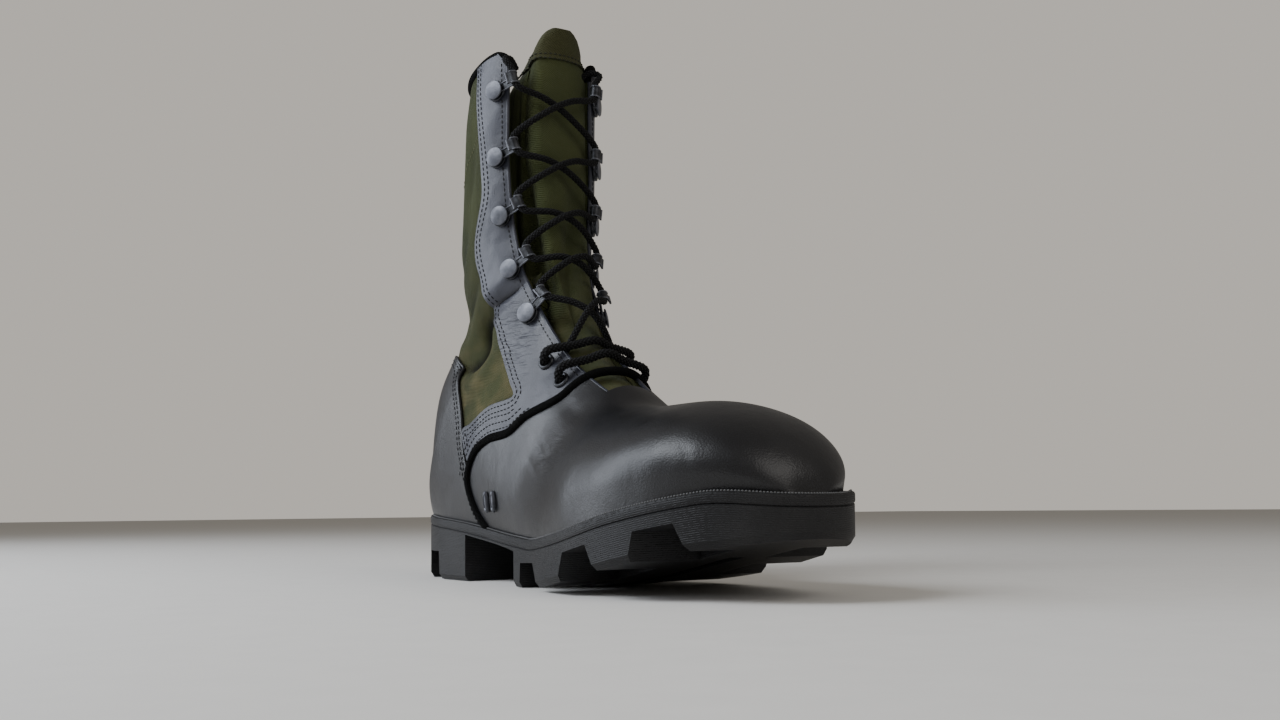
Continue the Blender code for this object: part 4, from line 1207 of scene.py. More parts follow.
@dataclass(frozen=True)
class ClothFinish:
    """Woven cloth: plain or twill, fading in patches, with painted highlights on its raised threads and
    painted shade in its creases.
    """

    name: str
    colour: Colour
    faded: Colour
    dirt: Colour
    thread: float = 0.0011
    twill: bool = False
    depth: float = 0.00016
    roughness: float = 0.86
    sheen: float = 0.05
    specular: float = 0.20
    pressed: Colour = (0.004, 0.005, 0.002)

    def material(self) -> bpy.types.Material:
        """The cloth's material.

        Returns:
            The material.
        """
        shade = Shade(self.name, self.colour, self.roughness)
        shade.shader.inputs["Sheen Weight"].default_value = self.sheen
        shade.shader.inputs["Specular IOR Level"].default_value = self.specular
        parts = shade.add("ShaderNodeSeparateXYZ", {0: shade.along}).outputs
        rate = 2 * math.pi / self.thread
        over = shade.sum("MULTIPLY", parts[0], rate)
        up = shade.sum("MULTIPLY", parts[1], rate)
        if self.twill:
            weave = shade.sum("SINE", shade.sum("ADD", over, up))
        else:
            weave = shade.sum("MULTIPLY", shade.sum("SINE", over), shade.sum("SINE", up))
        patches = shade.remap(shade.noise(22.0, 4.0), 0.35, 0.68, 0.0, 1.0)
        colour = shade.mix(patches, self.colour, self.faded)
        height = shade.add("ShaderNodeSeparateXYZ", {0: shade.place}).outputs[2]
        low = shade.remap(height, 0.165, 0.095, 0.0, 0.72)
        spots = shade.remap(shade.noise(90.0, 5.0), 0.4, 0.7, 0.1, 1.0)
        colour = shade.mix(shade.sum("MULTIPLY", low, spots), colour, self.dirt)
        # Painted highlight: the raised threads of the weave are painted in the paler colour of the worn
        # patches.
        lit = shade.remap(weave, -1.0, 1.0, 0.0, 0.35)
        colour = shade.mix(lit, colour, self.faded)
        # Painted shade: the cloth darkens where the upper is creased, by the stored fold depth.
        fold = shade.add("ShaderNodeAttribute", attribute_name="fold").outputs["Fac"]
        pressed = shade.remap(fold, 0.0010, 0.0034, 0.0, 0.88)
        shade.feed("Base Color", shade.mix(pressed, colour, self.pressed))
        shade.bump((weave, self.depth), (shade.noise(240.0, 4.0), 0.0005))
        return shade.material


@dataclass(frozen=True)
class MetalFinish:
    """Painted or bare metal, dulled by wear."""

    name: str
    colour: Colour
    worn: Colour
    roughness: float = 0.42
    metallic: float = 1.0

    def material(self) -> bpy.types.Material:
        """The metal's material.

        Returns:
            The material.
        """
        shade = Shade(self.name, self.colour, self.roughness, metallic=self.metallic)
        wear = shade.remap(shade.noise(260.0, 4.0), 0.42, 0.68, 0.0, 1.0)
        shade.feed("Base Color", shade.mix(wear, self.colour, self.worn))
        shade.bump((shade.noise(900.0, 3.0), 0.00004))
        return shade.material


@dataclass(frozen=True)
class CordFinish:
    """Round braided cord."""

    name: str = "black_braid"
    colour: Colour = (0.002, 0.002, 0.002)
    lit: Colour = (0.017, 0.017, 0.018)
    plait: float = 0.0062
    strands: int = 3

    def material(self) -> bpy.types.Material:
        """The cord's material.

        Returns:
            The material.
        """
        shade = Shade(self.name, self.colour, 0.72)
        shade.shader.inputs["Specular IOR Level"].default_value = 0.16
        parts = shade.add("ShaderNodeSeparateXYZ", {0: shade.along}).outputs
        run = shade.sum("MULTIPLY", parts[0], 2 * math.pi / self.plait * self.strands / 2)
        turn = shade.sum("MULTIPLY", parts[1], 2 * math.pi * self.strands)
        one = shade.sum("ABSOLUTE", shade.sum("SINE", shade.sum("ADD", run, turn)))
        other = shade.sum("ABSOLUTE", shade.sum("SINE", shade.sum("SUBTRACT", run, turn)))
        plaits = shade.sum("MULTIPLY", one, other)
        shade.feed("Base Color", shade.mix(plaits, self.colour, self.lit))
        shade.bump((plaits, 0.0005))
        return shade.material


@dataclass(frozen=True)
class PlainFinish:
    """An even matt finish."""

    name: str
    colour: Colour
    roughness: float = 0.9

    def material(self) -> bpy.types.Material:
        """The plain material, with a faint cloudiness.

        Returns:
            The material.
        """
        shade = Shade(self.name, self.colour, self.roughness)
        darker = tuple(0.93 * part for part in self.colour)
        shade.feed("Base Color", shade.mix(shade.noise(60.0, 4.0), self.colour, darker))
        return shade.material


class Finishes:
    """The boot's finishes, made once."""

    def __init__(self) -> None:
        """Builds every material."""
        self.leather = LeatherFinish().material()
        # The eyestays' leather: the same black leather in a lighter, bluer colour, a painted reflection of
        # the window light.
        self.shaft_leather = LeatherFinish(
            name="shaft_leather",
            colour=(0.023, 0.025, 0.037),
            worn=(0.050, 0.054, 0.076),
            roughness=0.42,
            wrinkled=(-0.040, 0.050, 0.115),
            reach=0.036,
            wrinkle_depth=0.0016,
            swell=0.0022,
        ).material()
        # Near-black cloth for the collar's binding; on the vamp's thick edge tube its black is partly
        # painted shade.
        self.binding = ClothFinish(
            "black_binding",
            (0.0025, 0.0025, 0.0025),
            (0.006, 0.006, 0.006),
            (0.008, 0.008, 0.007),
            0.0012,
            depth=0.0004,
            sheen=0.0,
            specular=0.08,
        ).material()
        self.rubber = RubberFinish().material()
        self.nylon = ClothFinish(
            "olive_nylon", (0.026, 0.032, 0.010), (0.052, 0.060, 0.020), (0.135, 0.108, 0.046)
        ).material()
        self.twill = ClothFinish(
            "olive_twill", (0.032, 0.042, 0.014), (0.074, 0.084, 0.029), (0.120, 0.100, 0.045), 0.0010, True
        ).material()
        self.khaki = ClothFinish(
            "khaki_tape", (0.036, 0.038, 0.014), (0.060, 0.060, 0.024), (0.100, 0.084, 0.040), 0.0014, True
        ).material()
        self.felt = PlainFinish("insole_felt", (0.060, 0.055, 0.045)).material()
        self.dome = MetalFinish(
            "enamelled_heads", (0.075, 0.079, 0.095), (0.130, 0.135, 0.155), 0.36, 0.35
        ).material()
        self.arm = MetalFinish(
            "dark_arms", (0.014, 0.015, 0.018), (0.060, 0.063, 0.072), 0.38, 0.5
        ).material()
        self.lining = PlainFinish("dark_lining", (0.010, 0.011, 0.008)).material()
        self.lace = CordFinish().material()
        self.thread = PlainFinish("black_thread", (0.004, 0.004, 0.005), 0.8).material()
        self.olive_thread = PlainFinish("olive_thread", (0.095, 0.100, 0.045), 0.8).material()
        self.dark_thread = PlainFinish("dark_olive_thread", (0.014, 0.016, 0.007), 0.8).material()
        self.tip = PlainFinish("dust_grey_rubber", (0.110, 0.110, 0.112), 0.85).material()


@dataclass(frozen=True)
class Stitch:
    """One kind of short rounded piece in a row, such as a stitch."""

    pitch: float
    length: float
    radius: float


LEATHER_STITCH = Stitch(0.0027, 0.0020, 0.00034)
CLOTH_STITCH = Stitch(0.0024, 0.0016, 0.0003)
TONGUE_STITCH = Stitch(0.0026, 0.0019, 0.00038)
SOLE_KNOB = Stitch(0.0013, 0.0011, 0.00045)


class RowTree:
    """A node tree that lays short rounded pieces, such as stitches, along rows."""

    def __init__(self, material: bpy.types.Material) -> None:
        """Builds the tree with named inputs for its sizes.

        Args:
            material: The thread's material.
        """
        self.group = bpy.data.node_groups.new(f"rows_{material.name}", "GeometryNodeTree")
        self.group.is_modifier = True
        face = self.group.interface
        face.new_socket(name="Rows", in_out="INPUT", socket_type="NodeSocketGeometry")
        self.keys = {}
        for name in ("Pitch", "Length", "Radius"):
            socket = face.new_socket(name=name, in_out="INPUT", socket_type="NodeSocketFloat")
            self.keys[name] = socket.identifier
        face.new_socket(name="Pieces", in_out="OUTPUT", socket_type="NodeSocketGeometry")
        start = self.node("NodeGroupInput")
        curve = self.node("GeometryNodeMeshToCurve", {"Mesh": start.outputs["Rows"]})
        even = self.node(
            "GeometryNodeResampleCurve",
            {"Curve": curve.outputs["Curve"], "Length": start.outputs["Pitch"]},
            mode="LENGTH",
        )
        bead = self.node("GeometryNodeMeshUVSphere", {"Segments": 6, "Rings": 4, "Radius": 1.0})
        half = self.node("ShaderNodeMath", {0: start.outputs["Length"], 1: 0.5}, operation="MULTIPLY")
        size = self.node(
            "ShaderNodeCombineXYZ",
            {0: start.outputs["Radius"], 1: start.outputs["Radius"], 2: half.outputs[0]},
        )
        shape = {"Geometry": bead.outputs["Mesh"], "Scale": size.outputs[0]}
        shaped = self.node("GeometryNodeTransform", shape)
        ahead = self.node("GeometryNodeInputTangent")
        turned = self.node("FunctionNodeAlignRotationToVector", {"Vector": ahead.outputs[0]}, axis="Z")
        placed = self.node(
            "GeometryNodeInstanceOnPoints",
            {
                "Points": even.outputs["Curve"],
                "Instance": shaped.outputs["Geometry"],
                "Rotation": turned.outputs["Rotation"],
            },
        )
        real = self.node("GeometryNodeRealizeInstances", {"Geometry": placed.outputs["Instances"]})
        dressed = self.node("GeometryNodeSetMaterial", {"Geometry": real.outputs["Geometry"]})
        dressed.inputs["Material"].default_value = material
        end = self.node("NodeGroupOutput")
        self.group.links.new(dressed.outputs["Geometry"], end.inputs["Pieces"])

    def node(self, kind: str, values: NodeValues | None = None, **settings: object) -> bpy.types.Node:
        """A new node of this tree."""
        return add_node(self.group, kind, values or {}, settings)

    def lay(self, name: str, rows: Sequence[Route], stitch: Stitch) -> Piece:
        """Lays the pieces along rows.

        Args:
            name: The new object's name.
            rows: The rows, as places in space.
            stitch: The sizes of the pieces.

        Returns:
            The plain object.
        """
        points, edges = [], []
        for row in rows:
            start = len(points)
            points += [tuple(spot) for spot in row]
            edges += [(start + i, start + i + 1) for i in range(len(row) - 1)]
        mesh = bpy.data.meshes.new(name)
        mesh.from_pydata(points, edges, [])
        made = bpy.data.objects.new(name, mesh)
        bpy.context.scene.collection.objects.link(made)
        step = made.modifiers.new("rows", "NODES")
        step.node_group = self.group
        for key, value in (("Pitch", stitch.pitch), ("Length", stitch.length), ("Radius", stitch.radius)):
            step[self.keys[key]] = value
        Maker.bake(made)
        made.data.shade_smooth()
        return made


@dataclass(frozen=True)
class Frame:
    """A place on the boot with its outward normal and the way inwards to the throat."""

    spot: Points
    out: Points
    inward: Points

    @classmethod
    def square(cls, spot: Points, out: Points, inward: Points) -> "Frame":
        """A frame whose way inwards is made square to the normal.

        Args:
            spot: The place on the surface.
            out: The surface's normal.
            inward: Roughly the way to the middle of the throat.

        Returns:
            The frame.
        """
        out = unit(np.asarray(out))
        inward = np.asarray(inward) - out * np.dot(inward, out)
        return cls(np.asarray(spot), out, unit(inward))

    def matrix(self, lift: float) -> Matrix:
        """Where a piece modelled upright at the origin stands, raised off the surface.

        Args:
            lift: How far off the surface, in metres.

        Returns:
            The matrix from the piece's frame to the boot's.
        """
        across = np.cross(self.out, self.inward)
        origin = self.spot + lift * self.out
        rows = [[self.inward[i], across[i], self.out[i], origin[i]] for i in range(3)]
        return Matrix(rows + [[0.0, 0.0, 0.0, 1.0]])

    def at(self, reach: float, across: float, lift: float) -> Points:
        """A place given in this frame."""
        return self.spot + reach * self.inward + across * np.cross(self.out, self.inward) + lift * self.out


@dataclass
class Throat:
    """Finds places round the boot near the throat."""

    form: BootForm

    def line(self, row: float) -> tuple[Points, Points, Points]:
        """One row's points and normals, and how far each lies round the boot from the middle.

        Args:
            row: The row, which may lie between two.

        Returns:
            The points, the normals and the distances.
        """
        lattice = self.form.lattice
        low = int(min(max(row, 0), len(lattice.points) - 1.001))
        share = row - low
        spots = (1 - share) * lattice.points[low] + share * lattice.points[low + 1]
        facing = (1 - share) * lattice.normals[low] + share * lattice.normals[low + 1]
        far = np.concatenate([[0.0], np.cumsum(np.linalg.norm(np.diff(spots, axis=0), axis=1))])
        return spots, facing, far - far[lattice.side_columns + lattice.throat_columns // 2]

    def place(self, row: float, at: float) -> tuple[Points, Points]:
        """The surface's place and normal at a distance round the boot.

        Args:
            row: The row, which may lie between two.
            at: The distance from the middle.

        Returns:
            The place and the normal.
        """
        spots, facing, far = self.line(row)
        spot = np.array([np.interp(at, far, spots[:, axis]) for axis in range(3)])
        out = np.array([np.interp(at, far, facing[:, axis]) for axis in range(3)])
        return spot, unit(out)

    def beside(self, side: Side, row: float, setback: float) -> float:
        """How far round the boot a place lies that is set back from the throat's edge."""
        _, _, far = self.line(row)
        return far[self.form.lattice.edge_column(side)] + side.value * setback

    def row_at(self, level: float, side: Side, setback: float) -> float:
        """The row whose place beside the throat's edge is at a level.

        Args:
            level: The height in metres.
            side: The boot's inner or outer side.
            setback: How far back from the throat's edge, in metres.

        Returns:
            The row, which may lie between two.
        """
        rows = np.linspace(self.form.lattice.first_open, len(self.form.lattice.points) - 1.01, 200)
        levels = [self.place(row, self.beside(side, row, setback))[0][2] for row in rows]
        return float(np.interp(level, levels, rows))

    def frame(self, level: float, side: Side, setback: float) -> Frame:
        """The frame of a fitting beside the throat.

        Args:
            level: The fitting's height in metres.
            side: The boot's inner or outer side.
            setback: How far back from the throat's edge, in metres.

        Returns:
            The frame.
        """
        row = self.row_at(level, side, setback)
        spot, out = self.place(row, self.beside(side, row, setback))
        below, _ = self.place(row - 2.0, self.beside(side, row - 2.0, setback))
        return Frame.square(spot, out, -side.value * np.cross(spot - below, out))

    def edge(self, side: Side, setback: float, lift: float, first: float = 0.0, last: float = 1.0) -> Route:
        """A line beside the throat's edge, from one share of its length to another.

        Args:
            side: The boot's inner or outer side.
            setback: How far back from the throat's edge, in metres.
            lift: How far off the surface, in metres.
            first: Where it starts, as a share.
            last: Where it ends, as a share.

        Returns:
            The line's points.
        """
        rows = np.linspace(self.form.lattice.first_open, len(self.form.lattice.points) - 1.01, 160)
        rows = rows[int(first * 159) : int(last * 159) + 1]
        spots = []
        for row in rows:
            spot, out = self.place(row, self.beside(side, row, setback))
            spots.append(Vector(spot + lift * out))
        return spots


@dataclass
class Sole:
    """The lugged rubber sole with its bead."""

    form: BootForm
    stations: int = 110
    bevel: float = 0.0012
    bevel_height: float = 0.0025
    wall_step: float = 0.0008
    bead_height: float = 0.0045
    heel_breast: float = 0.0737
    forefoot_start: float = 0.1317
    arch_height: float = 0.0227
    arch_front_height: float = 0.0160
    lug_depth: float = 0.0110
    heel_lug_depth: float = 0.0140
    lug_reach: float = 0.0300
    heel_lug_reach: float = 0.0140
    channel_width: float = 0.0080
    channel_depth: float = 0.0060
    channel_steps: int = 12
    underground: float = -0.02
    insole: float = 0.0035
    insole_gap: float = 0.0020

    def prism(self, name: str, outline: Pairs, across: Sequence[float]) -> Piece:
        """A cutter with a side-view outline of (along, height) points."""
        flat = np.array([(float(self.form.along_to_y(along)), height) for along, height in outline])
        return Maker.prism(name, flat, (min(across), max(across)))

    def cutters(self) -> list[Piece]:
        """What is cut away: the arch, the gaps between lugs and the channel.

        Returns:
            Closed solids to cut from the sole.
        """
        form, size = self.form, self.form.size
        below, width, length = self.underground, size.ball_width, size.sole_length
        breast, front = self.heel_breast / length, self.forefoot_start / length
        arch = [(breast, below), (breast, self.arch_height), (front, self.arch_front_height), (front, below)]
        made = [self.prism("arch", arch, (-width, width))]
        sets = (
            (FOREFOOT_GAPS, self.lug_depth, self.lug_reach),
            (HEEL_GAPS, self.heel_lug_depth, self.heel_lug_reach),
        )
        for gaps, depth, reach in sets:
            for top_start, top_end, foot_start, foot_end in gaps:
                edges = form.ledge_widths(0.5 * (top_start + top_end), 0.0)
                outline = [
                    (2 * foot_start - top_start, below),
                    (2 * foot_end - top_end, below),
                    (foot_end, float(form.sole_lift(foot_end))),
                    (top_end, float(form.sole_lift(top_end)) + depth),
                    (top_start, float(form.sole_lift(top_start)) + depth),
                    (foot_start, float(form.sole_lift(foot_start))),
                ]
                for edge in edges:
                    side = math.copysign(1.0, float(edge))
                    across = (float(edge) - side * reach, side * width)
                    made.append(self.prism("gap", outline, across))
        ends = (FOREFOOT_GAPS[0][1], FOREFOOT_GAPS[-1][0])
        places = [float(at) for at in np.linspace(*ends, self.channel_steps)]
        channel = [(at, float(form.sole_lift(at)) + self.channel_depth) for at in places]
        channel += [(ends[1], below), (ends[0], below)]
        made.append(self.prism("channel", channel, (-self.channel_width / 2, self.channel_width / 2)))
        return made

    def build(self, finishes: Finishes) -> None:
        """Makes the sole, its bead and its insole.

        Args:
            finishes: The materials.
        """
        form, size = self.form, self.form.size
        bead = self.bead_height
        step = self.wall_step
        levels = [
            (self.bevel + step, lambda at: form.sole_lift(at)),
            (step + 0.3 * MM, lambda at: form.sole_lift(at) + 0.6 * self.bevel_height),
            (0.5 * step, lambda at: form.sole_lift(at) + self.bevel_height),
            (0.3 * step, lambda at: form.sole_top(at) - bead - 0.4 * MM),
            (0.8 * step, lambda at: form.sole_top(at) - bead),
            (0.2 * step, lambda at: form.sole_top(at) - bead + 0.5 * step),
            (0.0, lambda at: form.sole_top(at) - bead + 1.2 * step),
            (0.0, lambda at: form.sole_top(at) - 1.4 * step),
            (0.4 * step, lambda at: form.sole_top(at) - 0.4 * step),
            (1.4 * step, lambda at: form.sole_top(at)),
        ]
        rings = [form.sole_ring(inset, height, self.stations) for inset, height in levels]
        sole = loft("sole", rings)
        cutters = self.cutters()
        for cutter in cutters:
            Maker.cut(sole, cutter, "DIFFERENCE")
        Maker.bake(sole)
        remove(cutters)
        self.add_drop(sole)
        Maker.smooth(sole, 28.0)
        finish_piece(sole, finishes.rubber, ["outsole"])
        ring = form.sole_ring(1.9 * step, lambda at: form.sole_top(at) + 0.2 * MM, self.stations)
        around = [Vector(spot) for spot in [*ring, ring[0]]]
        knobs = RowTree(finishes.tip).lay("sole_edge_knurl", [around], SOLE_KNOB)
        finish_piece(knobs, finishes.tip)
        inset = size.toe_ledge + size.wall + self.insole_gap
        low = form.sole_ring(inset, lambda at: form.sole_top(at) + size.gap, self.stations)
        insole = loft("felt_insole", [low, low + (0.0, 0.0, self.insole)])
        Maker.smooth(insole, 40.0)
        finish_piece(insole, finishes.felt, ["insole"])

    def add_drop(self, sole: Piece) -> None:
        """Stores how far each point lies below the ledge, for the fine ribs.

        Args:
            sole: The sole.
        """
        places = np.empty(len(sole.data.vertices) * 3, np.float32)
        sole.data.vertices.foreach_get("co", places)
        places = places.reshape(-1, 3)
        along = 0.5 - places[:, 1] / self.form.size.sole_length
        drop = self.form.sole_top(along) - places[:, 2]
        layer = sole.data.attributes.new("drop", "FLOAT", "POINT")
        layer.data.foreach_set("value", drop.astype(np.float32))


def loft(name: str, rings: Sequence[Points]) -> Piece:
    """A closed solid over several rings of as many points each.

    Args:
        name: The new object's name.
        rings: The rings, each in the same order.

    Returns:
        The new object.
    """
    count = len(rings[0])
    faces = []
    for level in range(len(rings) - 1):
        for spot in range(count):
            following = (spot + 1) % count
            low, high = level * count, (level + 1) * count
            faces.append((low + spot, low + following, high + following, high + spot))
    half = count // 2
    top = (len(rings) - 1) * count
    for base in (0, top):
        faces.append((base, base + 1, base + count - 1))
        for spot in range(1, half - 1):
            faces.append((base + spot, base + spot + 1, base + count - spot - 1, base + count - spot))
        faces.append((base + half - 1, base + half, base + half + 1))
    made = Maker.piece(name, np.vstack(rings), faces)
    Maker.face_out(made)
    return made


def remove(pieces: Sequence[Piece]) -> None:
    """Removes helper objects."""
    for piece in pieces:
        bpy.data.objects.remove(piece, do_unlink=True)


@dataclass
class Upper:
    """The cloth quarters, the leather over them, their rolled edges and seams."""

    form: BootForm
    view: SideView
    throat: Throat
    roll: float = 0.0008
    # The radius of the vamp's thick edge tube, partly a rolled lip and partly painted shade.
    binding: float = 0.0021
    collar: float = 0.0021
    eyelet_setback: float = 0.0095
    eyelet_hole: float = 0.0032
    corner_back: float = 0.0055
    corner_down: float = 0.0065
    drill_reach: float = 0.006
    tube_pitch: float = 0.0012
    collar_pitch: float = 0.0015
    stay_rows: tuple[float, ...] = (-0.0018, -0.0044)
    wing_rows: tuple[float, ...] = (0.0040, 0.0072, 0.0104)
    wing_heights: tuple[float, float] = (0.052, 0.0815)
    counter_rows: tuple[float, ...] = (0.0020, 0.0044)
    throat_row: float = 0.0028
    tape: tuple[tuple[float, float], ...] = ((0.074, 0.229), (0.082, 0.225), (0.089, 0.219), (0.096, 0.209))
    tape_rows: tuple[float, ...] = (0.0, 0.0035)

    def shell(self, name: str, lift: float, thickness: float, outward: bool) -> Piece:
        """A sheet of the upper outside the throat, with its thickness.

        Args:
            name: The new object's name.
            lift: How far the sheet's first face lies off the form.
            thickness: The thickness in metres.
            outward: Whether the sheet grows outwards.

        Returns:
            The new object.
        """
        lattice = self.form.lattice
        cells = [cell for cell in all_cells(lattice.points) if not lattice.in_throat(cell)]
        made = Maker.piece(name, *grid_faces(lattice.lifted(lift), cells))
        # The crease depths, stored so that the materials can paint shade into the creases.
        folds, _ = grid_faces(np.repeat(lattice.folds[:, :, None], 3, axis=2), cells)
        layer = made.data.attributes.new("fold", "FLOAT", "POINT")
        layer.data.foreach_set("value", folds[:, 0].astype(np.float32))
        lay_map(made, lattice.points, cells)
        shape = bmesh.new()
        shape.from_mesh(made.data)
        bmesh.ops.remove_doubles(shape, verts=shape.verts, dist=2e-6)
        bmesh.ops.dissolve_degenerate(shape, edges=shape.edges, dist=1e-7)
        shape.to_mesh(made.data)
        shape.free()
        Maker.thicken(made, thickness, outward)
        return made

    def ledge(self, clearance: float) -> Piece:
        """What lies below the sole's ledge, to trim what stands on it.

        Args:
            clearance: The gap over the sole.

        Returns:
            The solid to cut away.
        """
        size = self.form.size
        shares = np.concatenate([[-0.15], 0.5 * (1 - np.cos(np.pi * np.arange(61) / 60)), [1.15]])
        line = [(float(self.form.along_to_y(a)), float(self.form.sole_top(a)) + clearance) for a in shares]
        line += [(line[-1][0], -0.04), (line[0][0], -0.04)]
        return Maker.prism("ledge", np.array(line), (-size.ball_width, size.ball_width))

    def drills(self) -> list[Piece]:
        """Cutters for the four eyelet holes.

        Returns:
            One closed solid for each hole.
        """
        made = []
        size = self.form.size
        for side in Side:
            for height in EYELET_HEIGHTS:
                frame = self.throat.frame(size.boot_height * height, side, self.eyelet_setback)
                wide, deep = self.eyelet_hole, self.drill_reach
                profile = [(0.0, deep), (wide, deep), (wide, -deep), (0.0, -deep)]
                drill = Maker.turned("drill", profile, 24)
                drill.data.transform(frame.matrix(0.0))
                made.append(drill)
        return made

    def corner_cutter(self) -> Piece:
        """Cuts the collar's two front corners off, in the side view.

        Returns:
            The solid to cut away.
        """
        lattice = self.form.lattice
        spot = lattice.points[-1, lattice.edge_column(Side.MEDIAL)]
        y, z = float(spot[1]), float(spot[2])
        back, down = self.corner_back, self.corner_down
        outline = [
            (y + back, z + 20 * MM),
            (y + back, z + 0.8 * MM),
            (y + 0.55 * back, z - 0.12 * down),
            (y + 0.18 * back, z - 0.5 * down),
            (y - 1.2 * MM, z - down),
            (y - 20 * MM, z - down),
            (y - 20 * MM, z + 20 * MM),
        ]
        width = self.form.size.ball_width
        return Maker.prism("corner", np.array(outline), (-width, width))

    def outlines(self) -> dict[str, tuple[Points, tuple[float, float]]]:
        """Each panel's closed outline in the side view, and how far across it reaches.

        Returns:
            The outline and the two places across, by the panel's name.
        """
        size = self.form.size
        half, width = 0.5 * size.gap, size.ball_width
        above, below = 1.15 * size.boot_height, -0.04
        front = float(self.form.along_to_y(1.15))
        vamp = self.view.outline(VAMP_EDGE, -half)
        closed = [(vamp[-1, 0], below), (front, below), (front, above), (vamp[0, 0], above)]
        counter = self.view.outline(COUNTER_EDGE, half)
        rear = self.view.outline(EYESTAY_EDGE)
        meeting = self.view.outline(VAMP_EDGE, half)
        meeting = meeting[meeting[:, 1] > rear[-1, 1]]
        ends = [(front, meeting[0, 1]), (front, above)]
        stay = np.vstack([[(rear[0, 0], above)], rear, meeting[::-1], ends])
        return {
            "vamp_leather": (np.vstack([vamp, closed]), (-width, width)),
            "counter_leather": (
                np.vstack([counter, [(counter[-1, 0], below), (counter[0, 0], below)]]),
                (-width, width),
            ),
            "eyestay_leather_medial": (stay, (-width, 0.0)),
            "eyestay_leather_lateral": (stay, (0.0, width)),
        }

    def build(self, finishes: Finishes) -> None:
        """Makes the quarters, the leather panels and their edges and seams.

        Args:
            finishes: The materials.
        """
        size = self.form.size
        drills = [*self.drills(), self.corner_cutter()]
        quarter = self.shell("nylon_quarters", 0.0, size.wall, outward=False)
        quarter.data.materials.append(finishes.nylon)
        quarter.data.materials.append(finishes.lining)
        quarter.modifiers["wall"].material_offset = 1
        trims = [self.ledge(-0.5 * size.gap), self.ledge(-0.5 * size.gap)]
        for cutter in [*drills, trims[0]]:
            Maker.cut(quarter, cutter, "DIFFERENCE")
        Maker.bake(quarter)
        Maker.smooth(quarter, 50.0)
        finish_piece(quarter, None, ["upper"])
        nodes = {
            "vamp_leather": ("vamp", finishes.leather),
            "counter_leather": ("counter", finishes.leather),
            "eyestay_leather_medial": ("eyestay_medial", finishes.shaft_leather),
            "eyestay_leather_lateral": ("eyestay_lateral", finishes.shaft_leather),
        }
        for name, (outline, across) in self.outlines().items():
            panel = self.shell(name, size.gap, size.leather, outward=True)
            prism = Maker.prism("outline", outline, across)
            Maker.cut(panel, prism, "INTERSECT")
            extra = drills if name.startswith("eyestay") else [trims[1]]
            for cutter in extra:
                Maker.cut(panel, cutter, "DIFFERENCE")
            Maker.bake(panel)
            remove([prism])
            Maker.smooth(panel, 50.0)
            node, material = nodes[name]
            finish_piece(panel, material, [node])
        remove([*drills, *trims])
        self.build_edges(finishes)
        self.build_seams(finishes)

    def over_boot(self, edge: Pairs, move: float, lift: float) -> Route:
        """An edge's route up the inner side, over the boot and down the outer side."""
        line = self.view.outline(edge, move)
        return self.view.route(Side.MEDIAL, line, lift)[::-1] + self.view.route(Side.LATERAL, line, lift)

    def build_edges(self, finishes: Finishes) -> None:
        """Makes the rolled edges of the leather, the vamp's dark edge tube, partly painted shade, and the
        collar's binding.

        Args:
            finishes: The materials.
        """
        size = self.form.size
        middle = size.gap + 0.5 * size.leather
        # The vamp's edge as a thick near-black tube: partly the real rolled lip, partly painted shade of the
        # edge's shadowed side.
        route = even(self.over_boot(VAMP_EDGE, 0.6 * MM, size.leather_top), self.tube_pitch)
        bound = Maker.tube("vamp_binding", route, self.binding, 12)
        Maker.smooth(bound)
        finish_piece(bound, finishes.binding)
        route = even(self.over_boot(COUNTER_EDGE, 0.0, middle), self.tube_pitch)
        counter = Maker.tube("counter_rolled_edge", route, self.roll + 0.1 * MM, 8)
        Maker.smooth(counter)
        finish_piece(counter, finishes.leather)
        for side in Side:
            rear = self.view.route(side, self.view.outline(EYESTAY_EDGE), middle)
            tubes = [Maker.tube("rear_roll", even(rear, self.tube_pitch), self.roll, 8)]
            edge = self.throat.edge(side, 0.0, middle, 0.0, 0.965)
            tubes.append(Maker.tube("throat_roll", even(edge, self.tube_pitch), self.roll + 0.2 * MM, 8))
            rolls = Maker.join(f"eyestay_rolled_edge_{side.name.lower()}", tubes)
            Maker.smooth(rolls)
            finish_piece(rolls, finishes.shaft_leather)
        lattice = self.form.lattice
        top = lattice.lifted(0.5 * (size.leather_top - size.wall))[-1]
        last = lattice.edge_column(Side.LATERAL)
        path = [Vector(spot) for spot in [*top[last:], *top[1 : lattice.side_columns + 1]]]
        first, end = path[0].copy(), path[-1].copy()
        path = [spot for spot in path if min((spot - first).length, (spot - end).length) > self.corner_back]
        ends = []
        for corner, inner in ((first, path[0]), (end, path[-1])):
            low = corner - Vector((0, 0, self.corner_down))
            bend = corner + 0.2 * (inner - corner) - Vector((0, 0, 0.42 * self.corner_down))
            ends.append([low - Vector((0, 0, 3 * MM)), low, bend])
        rim = [*ends[0], *path, *ends[1][::-1]]
        collar = Maker.tube("collar_binding", even(rim, self.collar_pitch), self.collar, 12)
        Maker.smooth(collar)
        finish_piece(collar, finishes.binding)

